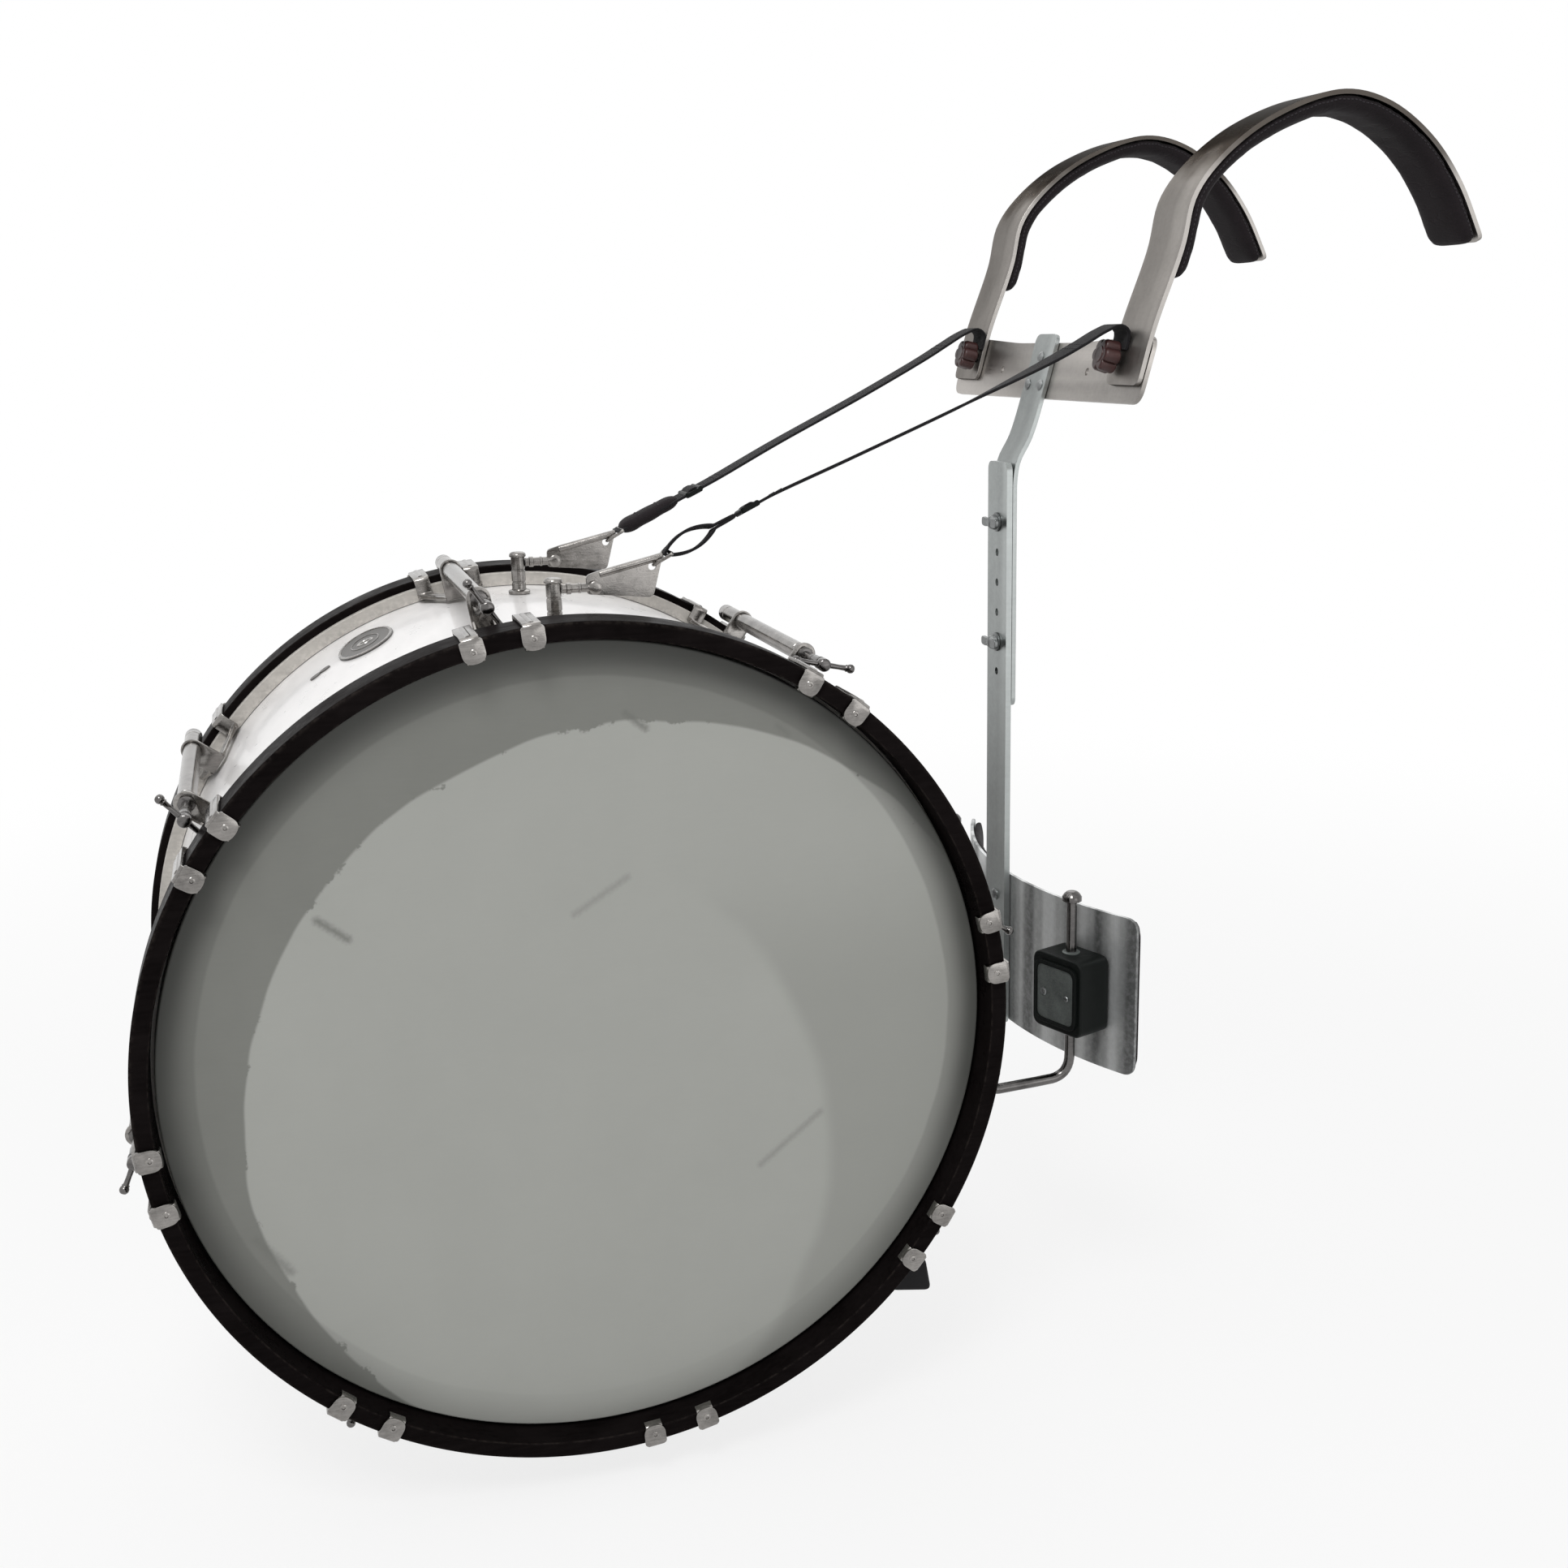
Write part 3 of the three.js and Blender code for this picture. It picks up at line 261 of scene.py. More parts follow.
class Solid:
    """A closed mesh under construction, in millimetres about the drum's centre."""

    def __init__(self, material: int = 0) -> None:
        """Start an empty mesh whose faces take the given material index."""
        self.bm = bmesh.new()
        self.uv = self.bm.loops.layers.uv.new("Surface")
        self.material = material

    def _face(self, corners: Sequence[bmesh.types.BMVert], places: Sequence[Pair],
              material: int | None = None) -> None:
        """Add one face with its surface coordinates, unless it has no area."""
        if len(set(corners)) < 3:
            return
        face = self.bm.faces.new(corners)
        face.material_index = self.material if material is None else material
        for loop, place in zip(face.loops, places):
            loop[self.uv].uv = place

    def loft(self, rings: Sequence[Sequence[Vector]], wrap: bool = False,
             materials: Sequence[int] | None = None) -> "Solid":
        """Join rings of points into a tube.

        Args:
            rings: Rings with equally many points.
            wrap: Whether the last ring joins the first; otherwise both ends are capped.
            materials: A material index for each edge of a ring.

        Returns:
            This solid.
        """
        rows = [[self.bm.verts.new(point) for point in ring] for ring in rings]
        count, many = len(rings[0]), len(rings)
        widest = max(rings, key=lambda ring: sum((ring[i] - ring[i - 1]).length for i in range(count)))
        around, along = [0.0], [0.0]
        for j in range(count):
            around.append(around[-1] + (widest[(j + 1) % count] - widest[j]).length)
        for i in range(many):
            after = rings[(i + 1) % many]
            along.append(along[-1] + max((after[j] - rings[i][j]).length for j in range(count)))
        for i in range(many if wrap else many - 1):
            below, above = rows[i], rows[(i + 1) % many]
            for j in range(count):
                k = (j + 1) % count
                self._face((below[j], below[k], above[k], above[j]),
                           ((around[j], along[i]), (around[j + 1], along[i]),
                            (around[j + 1], along[i + 1]), (around[j], along[i + 1])),
                           materials[j] if materials else None)
        if not wrap:
            for row in (rows[0], rows[-1]):
                self._face(row, [(around[j], 0.0) for j in range(count)])
        return self

    def lathe(self, profile: Sequence[Pair], materials: Sequence[int] | None = None) -> "Solid":
        """Turn a closed profile of (radius, along) points about the Y axis."""
        rings = []
        for turn in turns(ROUND):
            rings.append([Vector((r * math.cos(turn), y, r * math.sin(turn))) for r, y in profile])
        self.loft(rings, wrap=True, materials=materials)
        bmesh.ops.remove_doubles(self.bm, verts=self.bm.verts, dist=1e-4)
        bmesh.ops.dissolve_degenerate(self.bm, edges=self.bm.edges, dist=1e-5)
        return self

    def prism(self, outline: Sequence[Pair], low: float, high: float, place: Matrix | None = None,
              holes: Sequence[Sequence[Pair]] = ()) -> "Solid":
        """Fill an outline, less its holes, between two heights along the third axis."""
        loops = [list(outline), *(list(hole) for hole in holes)]
        flat = [point for loop in loops for point in loop]
        under = [self.bm.verts.new((x, y, low)) for x, y in flat]
        over = [self.bm.verts.new((x, y, high)) for x, y in flat]
        for tri in tessellate_polygon([[Vector((x, y, 0.0)) for x, y in loop] for loop in loops]):
            self._face([under[i] for i in reversed(tri)], [flat[i] for i in reversed(tri)])
            self._face([over[i] for i in tri], [flat[i] for i in tri])
        start = 0
        for loop in loops:
            count = len(loop)
            for j in range(count):
                a, b = start + j, start + (j + 1) % count
                self._face((under[a], under[b], over[b], over[a]), (flat[a], flat[b], flat[b], flat[a]))
            start += count
        bmesh.ops.recalc_face_normals(self.bm, faces=self.bm.faces)
        bmesh.ops.dissolve_limit(self.bm, angle_limit=0.005, verts=self.bm.verts, edges=self.bm.edges)
        return self.move(place) if place else self

    def sweep(self, path: Sequence[Vector], section: Sequence[Pair], side: Vector | Sequence[Vector] = ALONG,
              wrap: bool = False, scale: Sequence[Pair] | None = None) -> "Solid":
        """Carry a section along a path.

        Args:
            path: Points of the path.
            section: Points (across, inward); across lies along side.
            side: The direction that the section's first axis keeps to, or one for each point.
            wrap: Whether the path closes on itself.
            scale: The section's two scales at each point.

        Returns:
            This solid.
        """
        rings = []
        count = len(path)
        for i, here in enumerate(path):
            before = path[i - 1] if wrap or i else here
            after = path[(i + 1) % count] if wrap or i < count - 1 else here
            way = (after - before).normalized()
            lean = side if isinstance(side, Vector) else side[i]
            across = (lean - way * lean.dot(way)).normalized()
            inward = across.cross(way)
            wide, deep = scale[i] if scale else (1.0, 1.0)
            rings.append([here + across * (a * wide) + inward * (b * deep) for a, b in section])
        return self.loft(rings, wrap=wrap)

    def rod(self, radius: float, start: Sequence[float], end: Sequence[float], sides: int = 24) -> "Solid":
        """A round bar between two points."""
        a, b = Vector(start), Vector(end)
        side = ALONG if abs((b - a).normalized().y) < 0.9 else UP
        return self.sweep([a, b], circle(1.0, sides=sides), side, scale=[(radius, radius)] * 2)

    def turned(self, profile: Sequence[Pair], start: Sequence[float], way: Sequence[float],
               sides: int = 32) -> "Solid":
        """A turned piece: (radius, distance) pairs from start along way, capped at both ends."""
        a, along = Vector(start), Vector(way).normalized()
        side = ALONG if abs(along.y) < 0.9 else UP
        across = (side - along * side.dot(along)).normalized()
        other = across.cross(along)
        rings = []
        for radius, distance in profile:
            rings.append([a + along * distance + across * (radius * x) + other * (radius * y)
                          for x, y in circle(1.0, sides=sides)])
        return self.loft(rings)

    def soften(self, width: float, segments: int = 2, angle: float = 32.0) -> "Solid":
        """Round every edge that is sharper than the angle, in degrees."""
        bmesh.ops.recalc_face_normals(self.bm, faces=self.bm.faces)
        edges = [e for e in self.bm.edges if e.is_manifold and e.calc_face_angle(0.0) > math.radians(angle)]
        bmesh.ops.bevel(self.bm, geom=edges, offset=width, offset_type="OFFSET", segments=segments,
                        profile=0.5, affect="EDGES", clamp_overlap=True)
        return self

    def slice(self, axis: Vector, places: Sequence[float]) -> "Solid":
        """Cut the faces at planes across an axis, so that they can bend there."""
        for place in places:
            bmesh.ops.bisect_plane(self.bm, geom=[*self.bm.verts, *self.bm.edges, *self.bm.faces],
                                   dist=1e-4, plane_co=axis * place, plane_no=axis)
        return self

    def bend(self, rule: Callable[[Vector], Vector]) -> "Solid":
        """Move every point by a rule."""
        for vert in self.bm.verts:
            vert.co = rule(vert.co)
        return self

    def move(self, place: Matrix) -> "Solid":
        """Move the whole solid."""
        bmesh.ops.transform(self.bm, matrix=place, verts=self.bm.verts)
        return self

    def add(self, other: "Solid", place: Matrix | None = None) -> "Solid":
        """Take in another closed body as a separate shell."""
        spare = bpy.data.meshes.new("spare")
        other.bm.to_mesh(spare)
        if place:
            spare.transform(place)
        self.bm.from_mesh(spare)
        bpy.data.meshes.remove(spare)
        return self

    def inflate(self, voxel: float, cap: float, held: Callable[[Vector], bool]) -> "Solid":
        """Fill a pad as simulated cloth under air pressure.

        Args:
            voxel: Size of the remeshed cells.
            cap: How far a point may move.
            held: Tells the points that stay put, where the pad is glued.

        Returns:
            This solid.
        """
        start = bpy.data.meshes.new("inflating")
        self.bm.to_mesh(start)
        start.transform(Matrix.Scale(0.001, 4))
        pad = linked("inflating", start)
        scene = bpy.context.scene
        cells = pad.modifiers.new("cells", "REMESH")
        cells.mode = "VOXEL"
        cells.voxel_size = voxel * 0.001
        settle(pad)
        rest = [vert.co.copy() for vert in pad.data.vertices]
        glued = pad.vertex_groups.new(name="glued")
        glued.add([i for i, point in enumerate(rest) if held(point * 1000.0)], 1.0, "REPLACE")
        cloth = pad.modifiers.new("cloth", "CLOTH").settings
        cloth.use_pressure = True
        cloth.uniform_pressure_force = PRESSURE
        cloth.effector_weights.gravity = 0.0
        cloth.vertex_group_mass = glued.name
        for moment in range(1, PUFFING + 1):
            scene.frame_set(moment)
        settle(pad)
        scene.frame_set(1)
        for vert, point in zip(pad.data.vertices, rest):
            step = vert.co - point
            vert.co = point + step * min(1.0, cap * 0.001 / max(step.length, 1e-9))
        smooth = pad.modifiers.new("smooth", "SMOOTH")
        smooth.factor, smooth.iterations = 0.5, 3
        pad.modifiers.new("fine", "SUBSURF").levels = 1
        settle(pad)
        self.bm.free()
        self.bm = bmesh.new()
        self.bm.from_mesh(pad.data)
        self.uv = self.bm.loops.layers.uv.new("Surface")
        bpy.data.objects.remove(pad)
        return self.move(Matrix.Scale(1000.0, 4))

    def cling(self, rows: Sequence[Sequence[Vector]]) -> list[list[Vector]]:
        """Lay rows of points on this solid's surface, lifted by a little."""
        tree, lift = BVHTree.FromBMesh(self.bm), 0.1
        found = [[tree.find_nearest(point) for point in row] for row in rows]
        return [[spot + normal * lift for spot, normal, *_ in row] for row in found]

    def mesh(self, name: str) -> bpy.types.Mesh:
        """Finish the mesh in the row frame, with a wear mask along its outer edges."""
        bm = self.bm
        bmesh.ops.recalc_face_normals(bm, faces=bm.faces)
        if bm.calc_volume(signed=True) < 0:  # a sheet bent like a hook is misread and ends inside out
            bmesh.ops.reverse_faces(bm, faces=bm.faces)
        wear = bm.verts.layers.float.new("wear")
        for vert in bm.verts:
            angles = [e.calc_face_angle_signed(0.0) for e in vert.link_edges if e.is_manifold]
            vert[wear] = min(max((max(angles, default=0.0) - 0.25) / 0.35, 0.0), 1.0)
        for face in bm.faces:
            face.smooth = True
        for edge in bm.edges:
            edge.smooth = not edge.is_manifold or edge.calc_face_angle(0.0) < SHARP
        bm.transform(TO_ROW)
        made = bpy.data.meshes.new(name)
        bm.to_mesh(made)
        bm.free()
        return made

    def place(self, name: str, slot: str, finishes: Sequence["Finish"], body: str = ROOT,
              stands_for: Sequence[str] = (), weighted: bool = True) -> Object:
        """Turn the solid into a finished piece of the scene.

        Args:
            name: The piece's name.
            slot: The record's material slot; not used.
            finishes: A finish for each material index.
            body: The body that it rides on.
            stands_for: CAD nodes that it replaces.
            weighted: Whether wide faces keep flat shading beside small roundings.

        Returns:
            The new object.
        """
        made = linked(name, self.mesh(name))
        for finish in finishes:
            made.data.materials.append(finish.material())
        if weighted:
            made.modifiers.new("weigh", "WEIGHTED_NORMAL").keep_sharp = True
            settle(made)
        return dress(made, slot, body, stands_for)


def settle(piece: Object) -> None:
    """Apply a piece's modifiers to a plain mesh of its own."""
    bpy.context.view_layer.update()
    graph = bpy.context.evaluated_depsgraph_get()
    made = bpy.data.meshes.new_from_object(piece.evaluated_get(graph), depsgraph=graph)
    piece.modifiers.clear()
    piece.data = made


def dress(piece: Object, slot: str, body: str, stands_for: Sequence[str]) -> Object:
    """Attach a piece to its body and hide the nodes that it stands for."""
    if stands_for:
        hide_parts(*stands_for)
    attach(piece, body)
    LOG.info("%s: %d faces on %s", piece.name, len(piece.data.polygons), body)
    return piece


# Node trees


class Graph:
    """Short forms for building a node tree."""

    def __init__(self, tree: Tree) -> None:
        """Wrap an existing tree."""
        self.tree = tree

    def link(self, value: object, socket: Socket) -> None:
        """Feed a socket from an output, or set its value."""
        if isinstance(value, Socket):
            self.tree.links.new(value, socket)
        else:
            socket.default_value = value

    def node(self, kind: str, inputs: dict | None = None, **settings: object) -> Node:
        """Add a node; inputs are values or output sockets, by name or index."""
        made = self.tree.nodes.new(kind)
        for key, value in settings.items():
            setattr(made, key, value)
        for key, value in (inputs or {}).items():
            self.link(value, made.inputs[key])
        return made

    def math(self, operation: str, *values: object) -> Socket:
        """A math node's result."""
        return self.node("ShaderNodeMath", dict(enumerate(values)), operation=operation).outputs[0]

    def times(self, first: object, second: object) -> Socket:
        """Two values multiplied."""
        return self.math("MULTIPLY", first, second)

    def weighted(self, first: object, share: float, second: object, other: float) -> Socket:
        """The sum of two values, each times its share."""
        return self.math("MULTIPLY_ADD", first, share, self.times(second, other))

    def vector(self, operation: str, *values: object, out: str = "Vector") -> Socket:
        """A vector math node's result."""
        return self.node("ShaderNodeVectorMath", dict(enumerate(values)), operation=operation).outputs[out]

    def stretched(self, vector: object, factors: Triple) -> Socket:
        """A vector with each part times its own factor."""
        return self.vector("MULTIPLY", vector, factors)

    def mix(self, share: object, first: object, second: object) -> Socket:
        """A colour between two, by a share."""
        pair = [(*c, 1.0) if isinstance(c, tuple) and len(c) == 3 else c for c in (first, second)]
        made = self.node("ShaderNodeMix", {0: share, 6: pair[0], 7: pair[1]}, data_type="RGBA")
        return made.outputs[2]

    def remap(self, value: object, low: float, high: float, to_low: float = 0.0, to_high: float = 1.0,
              smooth: bool = False) -> Socket:
        """A value carried from one range to another, held at its ends."""
        return self.node("ShaderNodeMapRange", {0: value, 1: low, 2: high, 3: to_low, 4: to_high},
                         interpolation_type="SMOOTHSTEP" if smooth else "LINEAR").outputs[0]

    def noise(self, vector: object, scale: float, detail: float = 2.0, rough: float = 0.5) -> Socket:
        """Fractal noise from 0 to 1."""
        return self.node("ShaderNodeTexNoise", {"Vector": vector, "Scale": scale, "Detail": detail,
                                                "Roughness": rough}).outputs[0]

    def group(self, tree: Tree, **inputs: object) -> Node:
        """An instance of a node group, its inputs given by name."""
        made = self.node("ShaderNodeGroup", node_tree=tree)
        for key, value in inputs.items():
            self.link(value, made.inputs[key.title()])
        return made

    def scaled(self, vector: object, factor: object) -> Socket:
        """A vector times a number."""
        return self.node("ShaderNodeVectorMath", {0: vector, "Scale": factor}, operation="SCALE").outputs[0]

    def length(self, vector: object) -> Socket:
        """How long a vector is."""
        return self.vector("LENGTH", vector, out="Value")

    def parts(self, vector: object) -> object:
        """A vector's three parts."""
        return self.node("ShaderNodeSeparateXYZ", {0: vector}).outputs

    def bump(self, distance: object, height: object) -> Socket:
        """A normal raised by a height."""
        values = {"Strength": 1.0, "Distance": distance, "Height": height}
        return self.node("ShaderNodeBump", values).outputs[0]

    def grain(self, vector: object, scale: float, relief: float) -> Socket:
        """The normal of fine grain."""
        return self.group(grain_effect(), vector=vector, scale=scale, relief=relief).outputs["Normal"]

    def smudges(self, vector: object, size: float) -> Socket:
        """A mask of handling marks."""
        return self.group(smudge_effect(), vector=vector, size=size).outputs[0]

    def wear(self, vector: object, amount: float) -> Socket:
        """A mask of worn edges."""
        return self.group(wear_effect(), vector=vector, amount=amount).outputs[0]


def effect(name: str, inputs: dict[str, object], outputs: Sequence[str]) -> tuple[Graph, object, object]:
    """A new shader node group with its sockets, the first of them its place.

    Args:
        name: The group's name.
        inputs: The other inputs with their first values; a triple makes a vector socket.
        outputs: Names of what it puts out, all values but a normal.

    Returns:
        The group's graph, its input node and its output node.
    """
    tree = bpy.data.node_groups.new(name, "ShaderNodeTree")
    for key, value in {"Vector": (0.0, 0.0, 0.0), **inputs}.items():
        kind = "NodeSocketVector" if isinstance(value, tuple) else "NodeSocketFloat"
        tree.interface.new_socket(name=key, in_out="INPUT", socket_type=kind).default_value = value
    for key in outputs:
        kind = "NodeSocketVector" if key == "Normal" else "NodeSocketFloat"
        tree.interface.new_socket(name=key, in_out="OUTPUT", socket_type=kind)
    graph = Graph(tree)
    return graph, graph.node("NodeGroupInput").outputs, graph.node("NodeGroupOutput").inputs


@functools.cache
def grain_effect() -> Tree:
    """Fine grain: a value and a bumped normal from two octaves of noise."""
    graph, given, out = effect("fine_grain", {"Scale": 1.0, "Relief": 0.00005}, ("Value", "Normal"))
    fine = graph.noise(given["Vector"], given["Scale"], 3.0, 0.6)
    graph.link(fine, out["Value"])
    graph.link(graph.bump(given["Relief"], fine), out["Normal"])
    return graph.tree


@functools.cache
def smudge_effect() -> Tree:
    """Handling marks: soft cloudy patches crossed by faint streaks."""
    graph, given, out = effect("smudges", {"Size": 40.0}, ("Value",))
    scaled = graph.scaled(given["Vector"], graph.math("DIVIDE", 1.0, given["Size"]))
    cloud = graph.noise(scaled, 1.0, 4.0, 0.62)
    streak = graph.noise(graph.stretched(scaled, (1.0, 6.0, 9.0)), 1.7, 3.0)
    blend = graph.weighted(streak, 0.35, cloud, 0.65)
    graph.link(graph.remap(blend, 0.35, 0.65), out["Value"])
    return graph.tree


@functools.cache
def brushed_effect() -> Tree:
    """Brushed metal: long thin streaks across the first surface coordinate."""
    graph, given, out = effect("brushed_lines", {"Relief": 0.00002}, ("Value", "Band", "Normal"))
    fine = graph.noise(graph.stretched(given["Vector"], (2.6, 0.03, 1.0)), 1.0, 4.0, 0.7)
    # Broad bands for a painted reflection.
    band = graph.noise(graph.stretched(given["Vector"], (0.03, 0.001, 1.0)), 1.0, 2.0, 0.45)
    graph.link(fine, out["Value"])
    graph.link(band, out["Band"])
    graph.link(graph.bump(given["Relief"], fine), out["Normal"])
    return graph.tree


@functools.cache
def weave_effect() -> Tree:
    """A plain weave of threads: over and under along both surface coordinates."""
    graph, given, out = effect("weave", {"Pitch": 1.2, "Relief": 0.00025}, ("Value", "Normal"))
    parts = graph.parts(given["Vector"])
    turn = graph.math("DIVIDE", 2 * math.pi, given["Pitch"])
    across = graph.math("SINE", graph.times(parts[0], turn))
    along = graph.math("SINE", graph.times(parts[1], turn))
    check = graph.times(across, along)
    ribs = graph.math("ABSOLUTE", across)
    height = graph.weighted(check, 0.35, ribs, 0.5)
    total = graph.math("MULTIPLY_ADD", graph.noise(given["Vector"], 2.2), 0.35, height)
    graph.link(graph.remap(total, -0.2, 1.0), out["Value"])
    graph.link(graph.bump(given["Relief"], total), out["Normal"])
    return graph.tree


@functools.cache
def wear_effect() -> Tree:
    """Wear along outer edges, broken up by noise."""
    graph, given, out = effect("edge_wear", {"Amount": 0.5}, ("Mask",))
    edge = graph.node("ShaderNodeAttribute", attribute_name="wear").outputs["Fac"]
    patch = graph.remap(graph.noise(given["Vector"], 0.22, 4.0, 0.65), 0.42, 0.62)
    graph.link(graph.times(graph.times(edge, patch), given["Amount"]), out["Mask"])
    return graph.tree


@functools.cache
def stroke_effect() -> Tree:
    """A short scuff between two points, feathered at its sides."""
    graph, given, out = effect(
        "scuff", {"Start": (0.0, 0.0, 0.0), "End": (1.0, 0.0, 0.0), "Width": 2.0}, ("Mask",))
    span = graph.vector("SUBTRACT", given["End"], given["Start"])
    away = graph.vector("SUBTRACT", given["Vector"], given["Start"])
    share = graph.math("DIVIDE", graph.vector("DOT_PRODUCT", away, span, out="Value"),
                       graph.vector("DOT_PRODUCT", span, span, out="Value"))
    reach = graph.scaled(span, graph.remap(share, 0.0, 1.0))
    gap = graph.length(graph.vector("SUBTRACT", away, reach))
    ragged = graph.math("ADD", graph.math("DIVIDE", gap, given["Width"]),
                        graph.times(graph.noise(given["Vector"], 0.4, 3.0), 0.8))
    graph.link(graph.remap(ragged, 0.25, 1.5, 1.0, 0.0, smooth=True), out["Mask"])
    return graph.tree


# Finishes


@dataclass(frozen=True)
class Finish:
    """A procedural surface. Subclasses add what the real surface shows."""

    name: str
    colour: Triple
    roughness: float = 0.5
    metallic: float = 0.0
    coat: float = 0.0
    sheen: float = 0.0
    specular: float = 0.5
    ior: float = 1.5
    edge_tint: float = 1.0

    @functools.cache
    def material(self) -> bpy.types.Material:
        """The Blender material, made once."""
        made = bpy.data.materials.new(self.name)
        made.use_nodes = True
        made.diffuse_color = (*self.colour, 1.0)
        graph = Graph(made.node_tree)
        shader = made.node_tree.nodes["Principled BSDF"]
        settings = {"Base Color": (*self.colour, 1.0), "Roughness": self.roughness, "Metallic": self.metallic,
                    "Coat Weight": self.coat, "Coat Roughness": 0.08, "Sheen Weight": self.sheen,
                    "Sheen Roughness": 0.45, "Specular IOR Level": self.specular, "IOR": self.ior,
                    "Specular Tint": (self.edge_tint, self.edge_tint, self.edge_tint, 1.0)}
        for key, value in settings.items():
            shader.inputs[key].default_value = value
        place = graph.scaled(graph.node("ShaderNodeTexCoord").outputs["Object"], 1000.0)
        self.paint(graph, shader, place, graph.node("ShaderNodeUVMap", uv_map="Surface").outputs[0])
        return made

    def join(self, graph: Graph, shader: Node, colour: object = None, roughness: object = None,
             normal: object = None) -> None:
        """Link what varies over the surface to the shader."""
        for key, socket in (("Base Color", colour), ("Roughness", roughness), ("Normal", normal)):
            if socket is not None:
                graph.link(socket, shader.inputs[key])

    def shade(self, factor: float) -> Triple:
        """The finish's colour, darker or lighter by a factor."""
        return tuple(min(1.0, part * factor) for part in self.colour)

    def tones(self, graph: Graph, share: object, low: float, high: float) -> Socket:
        """The finish's colour, between two shades of it."""
        return graph.mix(share, self.shade(low), self.shade(high))

    def rough(self, graph: Graph, value: object, low: float, high: float, top: float = 1.0) -> Socket:
        """The finish's roughness, shifted from low to high as a value runs from nought to top."""
        return graph.remap(value, 0.0, top, self.roughness + low, self.roughness + high)

    def paint(self, graph: Graph, shader: Node, place: Socket, surface: Socket) -> None:
        """Add grain, smudges and edge wear; the plain moulded or painted look."""
        grain = graph.grain(place, 1.6, 0.00004)
        smudge = graph.smudges(place, 30.0)
        wear = graph.wear(place, 0.35)
        base = self.tones(graph, smudge, 0.86, 1.12)
        worn = graph.mix(wear, base, self.shade(1.9))
        rough = self.rough(graph, smudge, -0.07, 0.1)
        self.join(graph, shader, worn, rough, grain)


@dataclass(frozen=True)
class PearlWrap(Finish):
    """White pearl wrap: drifting flakes under gloss, with the seam where its ends meet."""

    seam_angle: float = -152.0

    def paint(self, graph: Graph, shader: Node, place: Socket, surface: Socket) -> None:
        """Swirl the pearl, add flakes and the seam line."""
        swirl = graph.noise(graph.stretched(place, (0.02, 0.02, 0.02)), 1.0, 3.0, 0.6)
        warp = graph.vector("ADD", graph.stretched(place, (0.04, 0.016, 0.04)), swirl)
        cloud = graph.noise(warp, 1.0, 4.0, 0.6)
        flakes = graph.node("ShaderNodeTexVoronoi", {"Vector": place, "Scale": 0.55}).outputs["Distance"]
        glint = graph.remap(flakes, 0.0, 0.55, 1.0, 0.0)
        tone = graph.math("MULTIPLY_ADD", glint, 0.1, graph.remap(cloud, 0.3, 0.7))
        base = self.tones(graph, tone, 0.93, 1.04)
        parts = graph.parts(place)
        angle = graph.math("ARCTAN2", parts[2], parts[0])
        off = graph.math("ABSOLUTE", graph.math("SUBTRACT", angle, math.radians(self.seam_angle)))
        seam = graph.remap(off, 0.0006, 0.003, 1.0, 0.0)
        rough = graph.remap(cloud, 0.3, 0.7, self.roughness - 0.05, self.roughness + 0.08)
        bump = graph.bump(0.0002, graph.times(seam, -1.0))
        self.join(graph, shader, graph.mix(seam, base, self.shade(0.4)), rough, bump)


